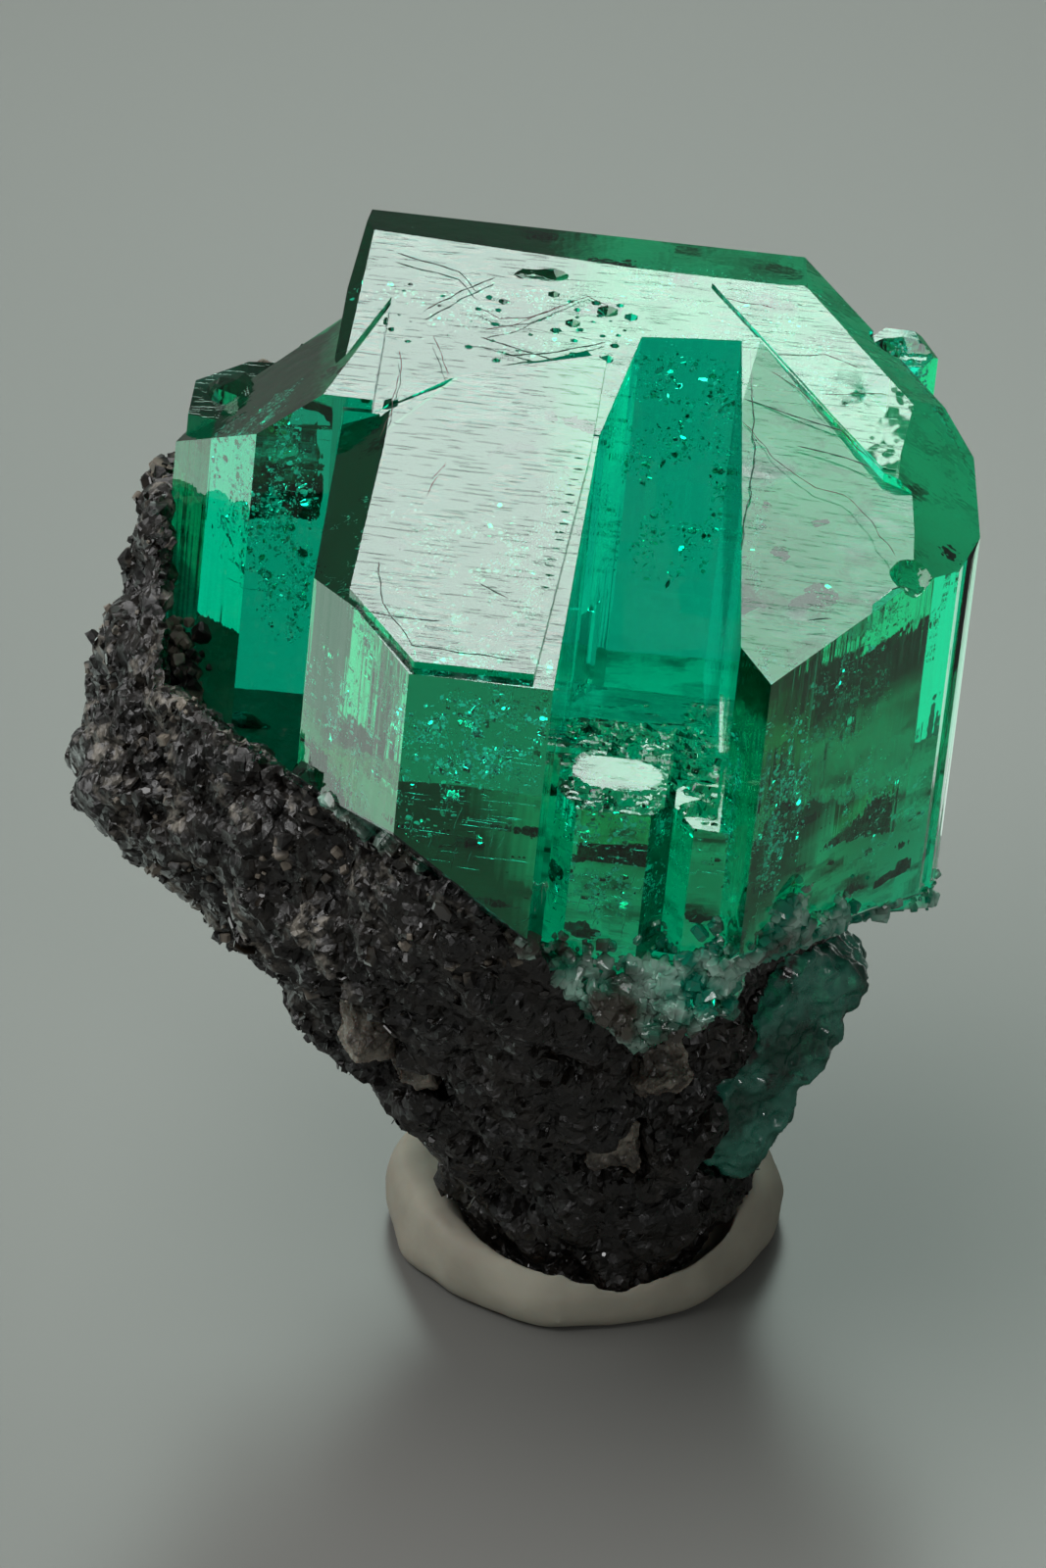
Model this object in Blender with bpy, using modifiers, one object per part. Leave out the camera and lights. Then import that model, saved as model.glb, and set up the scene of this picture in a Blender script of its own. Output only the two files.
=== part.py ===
"""Emerald in matrix: a composite emerald crystal on dark mica schist, pressed into a foot of mineral putty.

World frame: metres, +Z up, origin at the centre of the foot's flat underside, -Y towards the front of the
specimen, +X to its right. The crystals grew in parallel and share one crystal frame: its third axis is the
crystals' long axis, its first two lie in the flat basal face, and heights are measured from that face.
"""
import math

import bmesh
import bpy
from mathutils import Matrix, Vector, noise

MM = 0.001

# Crystal frame
BASAL_HEIGHT = 28.6 * MM
LEAN = math.radians(5.0)
TURN = math.radians(-4.5)
CRYSTAL_FRAME = (
    Matrix.Translation((0.0, 0.0, BASAL_HEIGHT)) @ Matrix.Rotation(LEAN, 4, "Y") @ Matrix.Rotation(TURN, 4, "Z")
)

# Outlines of the prisms in the crystal frame, mm
BACK_MASS = [
    (-7.6, 13.4), (-7.9, 8.2), (-7.9, 4.0), (-7.35, 0.7), (0.4, 0.7), (1.25, 6.6), (4.35, 7.0), (4.9, -2.5),
    (9.0, -3.0), (11.9, -2.0), (12.1, -0.5), (11.7, 3.7), (5.9, 13.6),
]
LEFT_BLOCK = [(-7.35, 1.5), (-7.35, -8.15), (-4.1, -13.8), (0.1, -13.8), (0.4, 1.5)]
LEFT_PLATE = [(-5.9, -0.6), (-6.2, -9.9), (-4.0, -13.45), (-0.5, -13.4), (0.2, -0.65), (0.3, 5.2), (-4.0, 3.1)]
RIGHT_BLOCK = [
    (4.3, 6.9), (4.9, -2.5), (5.35, -10.1), (6.35, -11.85), (11.55, -3.05), (12.1, -0.5), (11.7, 3.7),
    (9.0, 8.4), (6.0, 8.0),
]
LEFT_PRISM = [(-6.5, 0.9), (-9.9, 0.9), (-12.6, 5.6), (-11.6, 7.4), (-6.5, 9.0)]
LEFT_SHOULDER = [(-7.0, 4.0), (-12.3, 5.6), (-12.3, 8.0), (-10.8, 9.6), (-7.0, 9.9)]
SLOT_FILL = [(0.2, 5.6), (0.2, -8.0), (5.6, -8.0), (4.8, 5.6)]
SLOT_PRISM = [(0.45, -3.0), (0.45, -9.9), (1.1, -10.9), (3.3, -10.9), (3.95, -9.8), (3.95, -3.0)]
SLOT_PRISM_SMALL = [(3.7, -3.0), (3.9, -9.4), (4.6, -10.6), (6.2, -10.6), (6.6, -9.0), (6.2, -3.0)]
KNOB_CENTRE = (9.2, 9.4)
KNOB_RADIUS = 1.15

# Heights below the basal face, mm
CRYSTAL_DEPTH = 14.0
BACK_MASS_TOP = -0.05
LEFT_BLOCK_TOP = -0.22
SLOT_PRISM_TOP = -5.85
SLOT_PRISM_SMALL_TOP = -6.5
SHOULDER_TOP = -4.0
KNOB_TOP = -1.0
KNOB_BOTTOM = -7.5

# Vicinal and pyramid faces: (point on the plane, direction it faces in degrees, slope in degrees)
BACK_BEVEL = ((0.0, 10.4, 0.0), 90.0, 12.0)
BACK_RIGHT_BEVEL = ((5.92, 10.75, 0.0), 30.0, 25.0)
BACK_LEFT_BEVEL = ((-7.0, 6.0, 0.0), 180.0, 30.0)
RIGHT_BEVEL = ((9.45, 0.0, 0.0), 0.0, 29.5)
LEFT_BLOCK_BEVEL = ((-5.95, 0.0, LEFT_BLOCK_TOP), 180.0, 25.0)
LEFT_PYRAMID = ((-8.1, 0.5, 0.0), 165.0, 42.0)
RIGHT_PLATEAU = ((8.75, 0.5, 0.0), 210.0, 1.5)
SLOT_RAMP = ((2.0, -7.5, -5.9), 90.0, 25.5)
SHOULDER_SLOPE = ((-12.0, 5.0, SHOULDER_TOP), 120.0, 6.0)
KNOB_CHAMFER = ((9.9, 9.4, KNOB_TOP), 20.0, 35.0)

# Undersides of the crystals, from their contact line with the rock: height = c0 + ca * a + cb * b
LEFT_UNDERSIDE = (-20.26, -0.756, -0.821)
RIGHT_UNDERSIDE = (-23.44, 0.7215, -0.7503)

# Growth groove, etch pits and broken lumps on the crystals, mm
GROOVE = [(-7.6, -0.75), (-4.2, 3.0), (-0.3, 5.3)]
GROOVE_WIDTH = 0.3
GROOVE_DEPTH = 0.35
PITS = [
    (-6.0, 8.4, 0.42), (-5.0, 7.3, 0.35), (-5.8, 6.2, 0.45), (-4.6, 5.6, 0.3), (-3.1, 7.9, 0.35),
    (-0.9, 7.0, 0.4), (0.1, 7.9, 0.45), (-1.6, 8.6, 0.3),
]
PIT_DEPTH = 0.22
PIT_CONE = 5.0
BASE_LUMPS = [
    (1.2, -10.3, -12.4, 1.5), (2.9, -10.0, -13.2, 1.8), (4.5, -9.8, -12.5, 1.7), (6.1, -9.3, -11.3, 1.5),
    (7.3, -8.2, -11.2, 1.4), (-6.4, -8.6, -8.2, 1.4), (9.2, -5.4, -12.4, 1.3), (-9.4, 6.6, -4.6, 1.6),
    (-11.0, 7.2, -4.9, 1.3), (-8.6, 8.4, -4.2, 1.3),
]

# Room kept between touching solids, mm
GAP = 0.3

# Sockets for the crystals in the rock: convex outlines in the crystal frame, clockwise, mm
LEFT_SOCKET = [
    (-7.9, 13.4), (6.5, 13.7), (6.5, -13.8), (-4.1, -13.8), (-10.85, -9.9), (-12.6, 5.6), (-12.3, 8.0), (-10.8, 9.9),
]
RIGHT_SOCKET = [(5.0, 13.6), (5.9, 13.6), (11.7, 3.7), (12.1, -0.5), (11.55, -3.05), (6.4, -11.95), (5.0, -12.0)]
SOCKET_TOP = 8.0
SOCKET_DROP = 0.44

# The rock: (height, centre x, centre y, eight radii from +X round through +Y), mm
ROCK_SECTIONS = [
    (0.7, 0.4, -1.6, (3.2, 3.4, 3.8, 3.4, 3.2, 3.4, 3.8, 3.4)),
    (3.0, 0.7, -1.3, (4.7, 4.6, 4.7, 4.6, 4.7, 4.5, 4.5, 4.6)),
    (6.0, 0.2, -1.0, (5.6, 5.8, 6.0, 5.9, 6.2, 5.6, 5.7, 5.6)),
    (9.0, -0.5, -0.8, (6.9, 7.2, 7.4, 7.6, 7.8, 7.0, 7.2, 6.8)),
    (12.0, -1.0, -0.5, (8.4, 8.8, 9.0, 9.4, 9.5, 8.6, 8.8, 8.0)),
    (14.5, -1.2, -0.3, (9.6, 10.2, 10.4, 11.6, 12.0, 10.2, 10.2, 9.2)),
    (17.0, -1.5, 0.0, (9.0, 10.0, 10.6, 13.2, 13.9, 10.8, 11.6, 9.0)),
    (19.5, -1.5, 0.0, (8.0, 9.0, 11.0, 14.4, 13.0, 10.4, 12.6, 8.5)),
    (22.5, -2.0, 0.0, (6.0, 7.0, 10.5, 14.6, 10.8, 9.6, 12.4, 7.0)),
    (24.5, -3.0, 0.0, (3.0, 4.0, 6.5, 9.0, 8.0, 7.0, 10.0, 4.0)),
]
ROCK_SEGMENTS = 56
ROCK_RINGS = 30
ROCK_ROUGHNESS = 0.55
ROCK_LEDGE = 0.45
LUMP_SIZE = 3.2
LAYER_DIRECTION = Vector((-0.29, 0.25, 0.44))
CALM_HEIGHT = 3.0

# Emerald on the flank of the rock: a short hexagonal prism, mm
FLANK_TOP = (6.8, -1.3, 12.1)
FLANK_BOTTOM = (2.8, -3.0, 5.6)
FLANK_RADIUS = 2.9
FLANK_CHAMFER = 0.35

# Pale grains: name, centre (mm), half sizes (mm), turn in degrees
GRAINS = [
    ("feldspar_grain_left", (-6.4, -6.9, 12.1), (0.95, 0.85, 0.8), 20.0),
    ("feldspar_grain_low", (-5.0, -6.3, 10.2), (0.75, 0.7, 0.65), -15.0),
    ("feldspar_grain_tip", (2.3, -8.0, 11.3), (0.85, 0.8, 0.75), 35.0),
    ("feldspar_grain_foot", (0.9, -6.6, 7.6), (0.75, 0.7, 0.9), 5.0),
    ("feldspar_grain_rear", (-9.3, 12.3, 22.2), (1.4, 1.0, 1.5), 10.0),
]

# The putty foot, mm
FOOT_RADIUS = 6.15
FOOT_PROFILE = [
    (0.0, 1.5), (3.6, 1.6), (4.9, 2.25), (5.6, 2.3), (6.0, 1.8), (6.2, 1.1), (6.2, 0.4), (6.0, 0.0), (0.0, 0.0),
]
FOOT_LUMPS = 0.28
HOLLOW_TOP = 4.0
HOLLOW_GAP = 0.4


def new_object(name, mesh, collection):
    """Put a mesh into the scene as a named object."""
    thing = bpy.data.objects.new(name, mesh)
    collection.objects.link(thing)
    return thing


def evaluated_mesh(thing):
    """Mesh of an object with its modifiers applied."""
    depsgraph = bpy.context.evaluated_depsgraph_get()
    depsgraph.update()
    return bpy.data.meshes.new_from_object(thing.evaluated_get(depsgraph))


def edit(thing, change):
    """Open an object's mesh as a bmesh, change it and write it back with its faces pointing out."""
    shape = bmesh.new()
    shape.from_mesh(thing.data)
    change(shape)
    bmesh.ops.recalc_face_normals(shape, faces=shape.faces)
    shape.to_mesh(thing.data)
    shape.free()


def combine(target, tool, operation):
    """Apply a Boolean with a tool solid, which is then removed."""
    modifier = target.modifiers.new(operation.lower(), "BOOLEAN")
    modifier.operation = operation
    modifier.solver = "EXACT"
    modifier.object = tool
    mesh = evaluated_mesh(target)
    target.modifiers.clear()
    target.data = mesh
    bpy.data.objects.remove(tool)
    edit(target, lambda shape: bmesh.ops.remove_doubles(shape, verts=shape.verts, dist=1e-6))


def extrude_outline(name, outline, low, high, collection):
    """Solid column over a flat outline, between two heights of the crystal frame (mm)."""
    curve = bpy.data.curves.new(name, "CURVE")
    curve.dimensions = "2D"
    curve.fill_mode = "BOTH"
    curve.extrude = (high - low) / 2 * MM
    spline = curve.splines.new("POLY")
    spline.points.add(len(outline) - 1)
    for point, (a, b) in zip(spline.points, outline):
        point.co = (a * MM, b * MM, 0.0, 1.0)
    spline.use_cyclic_u = True
    flat = new_object(name, curve, collection)
    mesh = evaluated_mesh(flat)
    bpy.data.objects.remove(flat)
    mesh.transform(Matrix.Translation((0.0, 0.0, (high + low) / 2 * MM)))
    mesh.shade_flat()
    column = new_object(name, mesh, collection)
    edit(column, lambda shape: bmesh.ops.remove_doubles(shape, verts=shape.verts, dist=1e-6))
    return column


def slice_off(thing, point, normal):
    """Cut a convex solid with a plane, drop what lies beyond it and close the cut with one face."""
    def change(shape):
        geometry = shape.verts[:] + shape.edges[:] + shape.faces[:]
        bmesh.ops.bisect_plane(
            shape, geom=geometry, dist=1e-8, plane_co=point, plane_no=normal, clear_outer=True
        )
        rim = [edge for edge in shape.edges if edge.is_boundary]
        bmesh.ops.holes_fill(shape, edges=rim, sides=0)
    edit(thing, change)


def bevel_face(thing, face):
    """Grind a face given as (point in mm, azimuth and slope in degrees)."""
    point, azimuth, slope = face
    turn = math.radians(azimuth)
    tilt = math.radians(slope)
    normal = Vector((math.cos(turn) * math.sin(tilt), math.sin(turn) * math.sin(tilt), math.cos(tilt)))
    slice_off(thing, Vector(point) * MM, normal)


def cut_underside(thing, plane, drop=0.0):
    """Remove what lies below an underside plane, lowered by drop (mm)."""
    height, slope_a, slope_b = plane
    point = Vector((0.0, 0.0, (height - drop) * MM))
    slice_off(thing, point, Vector((slope_a, slope_b, -1.0)).normalized())


def rounded_lump(name, centre, radius, collection, seed):
    """Broken lump: a coarse ball pushed in and out by noise."""
    mesh = bpy.data.meshes.new(name)
    shape = bmesh.new()
    bmesh.ops.create_icosphere(shape, subdivisions=2, radius=radius * MM)
    for vert in shape.verts:
        vert.co *= 0.95 + 0.3 * noise.noise(vert.co / (0.9 * MM) + Vector((seed, 0.0, 0.0)))
    shape.to_mesh(mesh)
    shape.free()
    mesh.transform(Matrix.Translation(Vector(centre) * MM))
    return new_object(name, mesh, collection)


def hexagon(centre, radius):
    """Outline of a hexagonal prism whose faces run with the large crystal's."""
    corners = range(6)
    return [
        (centre[0] + radius * math.cos(math.radians(60 * k)), centre[1] + radius * math.sin(math.radians(60 * k)))
        for k in corners
    ]


def groove_strip(start, end):
    """Thin four-cornered outline that covers the groove from one point to the next."""
    along = (Vector(end) - Vector(start)).normalized()
    side = Vector((-along.y, along.x)) * GROOVE_WIDTH / 2
    reach = along * GROOVE_WIDTH / 4
    corners = (
        Vector(start) - reach - side, Vector(end) + reach - side, Vector(end) + reach + side,
        Vector(start) - reach + side,
    )
    return [tuple(corner) for corner in corners]


def pit_cutter(centre_a, centre_b, radius, collection):
    """Six-sided etch pit: the tip of a tall cone that stands on its point."""
    mesh = bpy.data.meshes.new("pit")
    shape = bmesh.new()
    bmesh.ops.create_cone(
        shape, cap_ends=True, segments=6, radius1=0.01 * MM, radius2=PIT_CONE * radius * MM,
        depth=PIT_CONE * PIT_DEPTH * MM,
    )
    shape.to_mesh(mesh)
    shape.free()
    middle = BACK_MASS_TOP - PIT_DEPTH + PIT_CONE * PIT_DEPTH / 2
    mesh.transform(Matrix.Translation(Vector((centre_a, centre_b, middle)) * MM))
    return new_object("pit", mesh, collection)


def build_cluster(collection):
    """The grown-together emerald: its prisms, bevels, slot, groove, pits and broken base."""
    cluster = extrude_outline("emerald_cluster", BACK_MASS, -CRYSTAL_DEPTH, BACK_MASS_TOP, collection)
    for face in (BACK_BEVEL, BACK_RIGHT_BEVEL, BACK_LEFT_BEVEL, RIGHT_BEVEL, RIGHT_PLATEAU):
        bevel_face(cluster, face)

    left = extrude_outline("left", LEFT_BLOCK, -CRYSTAL_DEPTH, LEFT_BLOCK_TOP, collection)
    bevel_face(left, LEFT_BLOCK_BEVEL)
    cut_underside(left, LEFT_UNDERSIDE)

    right = extrude_outline("right", RIGHT_BLOCK, -CRYSTAL_DEPTH, 0.0, collection)
    for face in (BACK_RIGHT_BEVEL, RIGHT_BEVEL, RIGHT_PLATEAU):
        bevel_face(right, face)
    cut_underside(right, RIGHT_UNDERSIDE)

    prism = extrude_outline("prism", LEFT_PRISM, -CRYSTAL_DEPTH, 0.0, collection)
    bevel_face(prism, LEFT_PYRAMID)
    cut_underside(prism, LEFT_UNDERSIDE)
    shoulder = extrude_outline("shoulder", LEFT_SHOULDER, -CRYSTAL_DEPTH, 0.0, collection)
    bevel_face(shoulder, SHOULDER_SLOPE)

    fill = extrude_outline("fill", SLOT_FILL, -CRYSTAL_DEPTH, 0.0, collection)
    bevel_face(fill, SLOT_RAMP)
    cut_underside(fill, LEFT_UNDERSIDE)
    front = extrude_outline("front", SLOT_PRISM, -CRYSTAL_DEPTH, SLOT_PRISM_TOP, collection)
    cut_underside(front, LEFT_UNDERSIDE)
    small = extrude_outline("small", SLOT_PRISM_SMALL, -CRYSTAL_DEPTH + 1.0, SLOT_PRISM_SMALL_TOP, collection)
    cut_underside(small, LEFT_UNDERSIDE)

    knob = extrude_outline("knob", hexagon(KNOB_CENTRE, KNOB_RADIUS), KNOB_BOTTOM, KNOB_TOP, collection)
    bevel_face(knob, KNOB_CHAMFER)
    plate = extrude_outline("plate", LEFT_PLATE, -1.0, 0.0, collection)

    for block in (left, right, prism, shoulder, fill, front, small, knob, plate):
        combine(cluster, block, "UNION")
    for number, (a, b, height, radius) in enumerate(BASE_LUMPS):
        lump = rounded_lump("lump", (a, b, height), radius, collection, 7.0 * number)
        underside = LEFT_UNDERSIDE if a < 5.0 else RIGHT_UNDERSIDE
        cut_underside(lump, underside)
        slice_off(lump, Vector((0.0, 0.0, -CRYSTAL_DEPTH * MM)), Vector((0.0, 0.0, -1.0)))
        combine(cluster, lump, "UNION")
    for start, end in zip(GROOVE, GROOVE[1:]):
        strip = extrude_outline("groove", groove_strip(start, end), -GROOVE_DEPTH, 1.0, collection)
        combine(cluster, strip, "DIFFERENCE")
    for a, b, radius in PITS:
        combine(cluster, pit_cutter(a, b, radius, collection), "DIFFERENCE")
    cluster.data.transform(CRYSTAL_FRAME)
    return cluster


def grown_hull(outline, amount):
    """Offset a convex outline, listed clockwise, outwards by amount."""
    moved = []
    count = len(outline)
    for index in range(count):
        before = Vector(outline[index - 1])
        here = Vector(outline[index])
        after = Vector(outline[(index + 1) % count])
        first = (here - before).normalized()
        second = (after - here).normalized()
        normal_first = Vector((-first.y, first.x))
        normal_second = Vector((-second.y, second.x))
        middle = (normal_first + normal_second).normalized()
        moved.append(tuple(here + middle * amount / middle.dot(normal_first)))
    return moved


def crystal_sockets(collection):
    """Room in the rock for the crystals: their common outline, a little larger, open above their undersides."""
    sockets = []
    for outline, underside in ((LEFT_SOCKET, LEFT_UNDERSIDE), (RIGHT_SOCKET, RIGHT_UNDERSIDE)):
        socket = extrude_outline("socket", grown_hull(outline, GAP), -CRYSTAL_DEPTH - GAP, SOCKET_TOP, collection)
        cut_underside(socket, underside, drop=SOCKET_DROP)
        socket.data.transform(CRYSTAL_FRAME)
        sockets.append(socket)
    return sockets


def smooth_step(share):
    """Ease a share between 0 and 1."""
    return share * share * (3.0 - 2.0 * share)


def rock_radius(radii, angle):
    """Radius of a rock section at an angle, eased between its eight radii."""
    place = angle / math.tau * len(radii)
    index = int(place) % len(radii)
    share = smooth_step(place - int(place))
    return radii[index] * (1.0 - share) + radii[(index + 1) % len(radii)] * share


def rock_section(height):
    """Centre and radii of the rock at a height, between its listed sections."""
    for lower, upper in zip(ROCK_SECTIONS, ROCK_SECTIONS[1:]):
        if height <= upper[0]:
            break
    share = (height - lower[0]) / (upper[0] - lower[0])
    x = lower[1] + (upper[1] - lower[1]) * share
    y = lower[2] + (upper[2] - lower[2]) * share
    radii = [first + (second - first) * share for first, second in zip(lower[3], upper[3])]
    return x, y, radii


def rock_point(angle, height, grow=0.0):
    """Point on the schist's rough, ledged side, pushed out by grow."""
    x, y, radii = rock_section(height)
    radius = rock_radius(radii, angle)
    direction = Vector((math.cos(angle), math.sin(angle), 0.0))
    smooth = Vector((x, y, height)) + direction * radius
    lumps = noise.fractal(smooth / LUMP_SIZE, 0.9, 2.1, 3) * ROCK_ROUGHNESS
    layer = math.floor(smooth.dot(LAYER_DIRECTION))
    ledge = noise.noise(Vector((layer * 3.7, angle * 1.3, 0.5))) * ROCK_LEDGE
    calm = min(1.0, max(0.0, (height - ROCK_SECTIONS[0][0]) / CALM_HEIGHT))
    return smooth + direction * ((lumps + ledge) * calm + grow)


def loft(name, rings, collection):
    """Closed solid through a stack of rings with equal numbers of points (mm)."""
    mesh = bpy.data.meshes.new(name)
    shape = bmesh.new()
    loops = [[shape.verts.new(point * MM) for point in ring] for ring in rings]
    for lower, upper in zip(loops, loops[1:]):
        for index in range(len(lower)):
            after = (index + 1) % len(lower)
            shape.faces.new((lower[index], lower[after], upper[after], upper[index]))
    shape.faces.new(list(reversed(loops[0])))
    shape.faces.new(loops[-1])
    shape.to_mesh(mesh)
    shape.free()
    return new_object(name, mesh, collection)


def rock_rings(low, high, count, grow=0.0):
    """Rings of points round the rock between two heights."""
    heights = [low + (high - low) * index / (count - 1) for index in range(count)]
    angles = [math.tau * index / ROCK_SEGMENTS for index in range(ROCK_SEGMENTS)]
    return [[rock_point(angle, height, grow) for angle in angles] for height in heights]


def build_rock(collection):
    """The schist: an inverted wedge with sockets for the crystals."""
    low = ROCK_SECTIONS[0][0]
    high = ROCK_SECTIONS[-1][0]
    rock = loft("matrix_rock", rock_rings(low, high, ROCK_RINGS), collection)
    for socket in crystal_sockets(collection):
        combine(rock, socket, "DIFFERENCE")
    keep_largest_body(rock)
    return rock


def keep_largest_body(thing):
    """Drop loose chips that a cut has left beside the main body."""
    def change(shape):
        left = set(shape.verts)
        bodies = []
        while left:
            body = set()
            front = [left.pop()]
            while front:
                vert = front.pop()
                body.add(vert)
                for edge in vert.link_edges:
                    other = edge.other_vert(vert)
                    if other in left:
                        left.remove(other)
                        front.append(other)
            bodies.append(body)
        bodies.sort(key=len)
        for body in bodies[:-1]:
            bmesh.ops.delete(shape, geom=list(body), context="VERTS")
    edit(thing, change)


def flank_prism(name, radius, extra, collection):
    """Hexagonal prism along the flank with chamfered ends, each end lengthened by extra (mm)."""
    top = Vector(FLANK_TOP)
    bottom = Vector(FLANK_BOTTOM)
    axis = (top - bottom).normalized()
    length = (top - bottom).length + 2 * extra
    mesh = bpy.data.meshes.new(name)
    shape = bmesh.new()
    bmesh.ops.create_cone(
        shape, cap_ends=True, segments=6, radius1=radius * MM, radius2=radius * MM, depth=length * MM
    )
    rims = [edge for edge in shape.edges if abs(edge.verts[0].co.z - edge.verts[1].co.z) < 1e-7]
    bmesh.ops.bevel(shape, geom=rims, offset=FLANK_CHAMFER * MM, segments=1, affect="EDGES")
    shape.to_mesh(mesh)
    shape.free()
    turn = Vector((0.0, 0.0, 1.0)).rotation_difference(axis).to_matrix().to_4x4()
    mesh.transform(Matrix.Translation((top + bottom) / 2 * MM) @ turn)
    return new_object(name, mesh, collection)


def grain(name, centre, half, turn, grow, collection):
    """Blocky mineral grain: a bevelled box, slightly skewed by noise."""
    mesh = bpy.data.meshes.new(name)
    shape = bmesh.new()
    bmesh.ops.create_cube(shape, size=2.0)
    for vert in shape.verts:
        size = [half[axis] * (1.0 + 0.16 * noise.noise(vert.co + Vector(centre))) + grow for axis in range(3)]
        vert.co = Vector([vert.co[axis] * size[axis] * MM for axis in range(3)])
    bmesh.ops.bevel(shape, geom=shape.edges[:], offset=0.22 * MM, segments=1, affect="EDGES")
    shape.to_mesh(mesh)
    shape.free()
    spin = Matrix.Rotation(math.radians(turn), 4, "Z") @ Matrix.Rotation(math.radians(turn + 12.0), 4, "X")
    mesh.transform(Matrix.Translation(Vector(centre) * MM) @ spin)
    return new_object(name, mesh, collection)


def build_foot(collection):
    """The putty foot: a turned, hand-pressed disc with a raised lip and a hollow for the rock."""
    mesh = bpy.data.meshes.new("putty_foot")
    shape = bmesh.new()
    verts = [shape.verts.new((radius * MM, 0.0, height * MM)) for radius, height in FOOT_PROFILE]
    for first, second in zip(verts, verts[1:]):
        shape.edges.new((first, second))
    shape.to_mesh(mesh)
    shape.free()
    foot = new_object("putty_foot", mesh, collection)
    screw = foot.modifiers.new("turn", "SCREW")
    screw.steps = 48
    screw.render_steps = 48
    screw.use_merge_vertices = True
    screw.merge_threshold = 0.00001
    foot.data = evaluated_mesh(foot)
    foot.modifiers.clear()

    def press(shape):
        bmesh.ops.remove_doubles(shape, verts=shape.verts, dist=1e-6)
        for vert in shape.verts:
            reach = vert.co.xy.length / (FOOT_RADIUS * MM)
            if reach < 0.3:
                continue
            bump = noise.noise(vert.co / (2.6 * MM)) + 0.5 * noise.noise(vert.co / (1.1 * MM))
            vert.co.xy *= 1.0 + FOOT_LUMPS / FOOT_RADIUS * bump * reach
            if vert.co.z > 0.8 * MM:
                vert.co.z += 0.6 * FOOT_LUMPS * MM * noise.noise(vert.co / (1.7 * MM) + Vector((9.0, 0.0, 0.0)))
    edit(foot, press)
    rings = rock_rings(ROCK_SECTIONS[0][0], HOLLOW_TOP, 5, grow=HOLLOW_GAP)
    floor = [Vector((point.x, point.y, point.z - GAP)) for point in rings[0]]
    combine(foot, loft("hollow", [floor] + rings[1:], collection), "DIFFERENCE")
    return foot


def finish(name, colour, roughness, transmission=0.0, ior=1.45):
    """Material of a piece."""
    material = bpy.data.materials.new(name)
    material.use_nodes = True
    shader = material.node_tree.nodes["Principled BSDF"]
    shader.inputs["Base Color"].default_value = (*colour, 1.0)
    shader.inputs["Roughness"].default_value = roughness
    shader.inputs["Metallic"].default_value = 0.0
    shader.inputs["Transmission Weight"].default_value = transmission
    shader.inputs["IOR"].default_value = ior
    return material


def main():
    for thing in list(bpy.data.objects):
        bpy.data.objects.remove(thing)
    parts = bpy.data.collections.new("emerald_in_matrix")
    bpy.context.scene.collection.children.link(parts)

    emerald = finish("emerald", (0.01, 0.36, 0.2), 0.03, 1.0, 1.58)
    deep_emerald = finish("flank_emerald", (0.03, 0.3, 0.2), 0.2, 0.8, 1.58)
    schist = finish("mica_schist", (0.03, 0.027, 0.023), 0.55)
    feldspar = finish("feldspar", (0.5, 0.46, 0.4), 0.4)
    putty = finish("putty", (0.55, 0.52, 0.42), 0.85)

    cluster = build_cluster(parts)
    cluster.data.materials.append(emerald)
    rock = build_rock(parts)
    foot = build_foot(parts)
    foot.data.materials.append(putty)

    flank = flank_prism("flank_emerald", FLANK_RADIUS, 0.0, parts)
    flank.data.materials.append(deep_emerald)
    combine(rock, flank_prism("socket", FLANK_RADIUS + GAP, GAP, parts), "DIFFERENCE")
    for name, centre, half, turn in GRAINS:
        combine(rock, grain("pocket", centre, half, turn, GAP, parts), "DIFFERENCE")
        grain(name, centre, half, turn, 0.0, parts).data.materials.append(feldspar)
    keep_largest_body(rock)
    rock.data.materials.append(schist)


main()
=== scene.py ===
# %% [markdown]
# # An emerald in its matrix, dressed for a close-up
#
# The specimen is a thumbnail: a cluster of clear green beryl crystals on a wedge of black mica schist, with a few
# pale grains of feldspar, pressed into a small foot of mineral putty. A measured model of it already exists, and
# this lesson dresses that model. We keep its places and sizes, and add what the eye asks for up close: crystal you
# can look into, sugary rock, hand-pressed putty, and light that shows all three.

# %% Load the measured model
import math
import random

import bpy
import numpy as np
from mathutils import Matrix, Vector, noise
from mathutils.bvhtree import BVHTree


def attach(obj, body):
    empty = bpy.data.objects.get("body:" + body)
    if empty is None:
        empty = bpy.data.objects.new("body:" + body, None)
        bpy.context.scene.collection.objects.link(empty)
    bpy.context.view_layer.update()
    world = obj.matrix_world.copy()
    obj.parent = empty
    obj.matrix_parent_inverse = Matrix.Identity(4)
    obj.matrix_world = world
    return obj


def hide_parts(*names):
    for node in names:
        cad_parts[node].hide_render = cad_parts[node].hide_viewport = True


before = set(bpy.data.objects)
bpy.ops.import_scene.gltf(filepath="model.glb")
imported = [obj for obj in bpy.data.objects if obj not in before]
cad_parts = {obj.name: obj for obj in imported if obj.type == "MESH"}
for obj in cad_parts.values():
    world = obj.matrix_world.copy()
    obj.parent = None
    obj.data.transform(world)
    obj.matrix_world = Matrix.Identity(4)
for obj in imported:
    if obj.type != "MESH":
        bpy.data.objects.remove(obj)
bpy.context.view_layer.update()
MM = 0.001
print("solids:", ", ".join(sorted(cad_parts)))

# %% [markdown]
# ## Small tools for the bench
#
# Blender's operators act on whatever is selected, so every step starts by selecting exactly one thing. These
# helpers do that, run a step in edit mode, apply a modifier, and copy a measured solid. A measured solid is stored
# as loose triangles, so its copy is merged before anything else happens to it.

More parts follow.
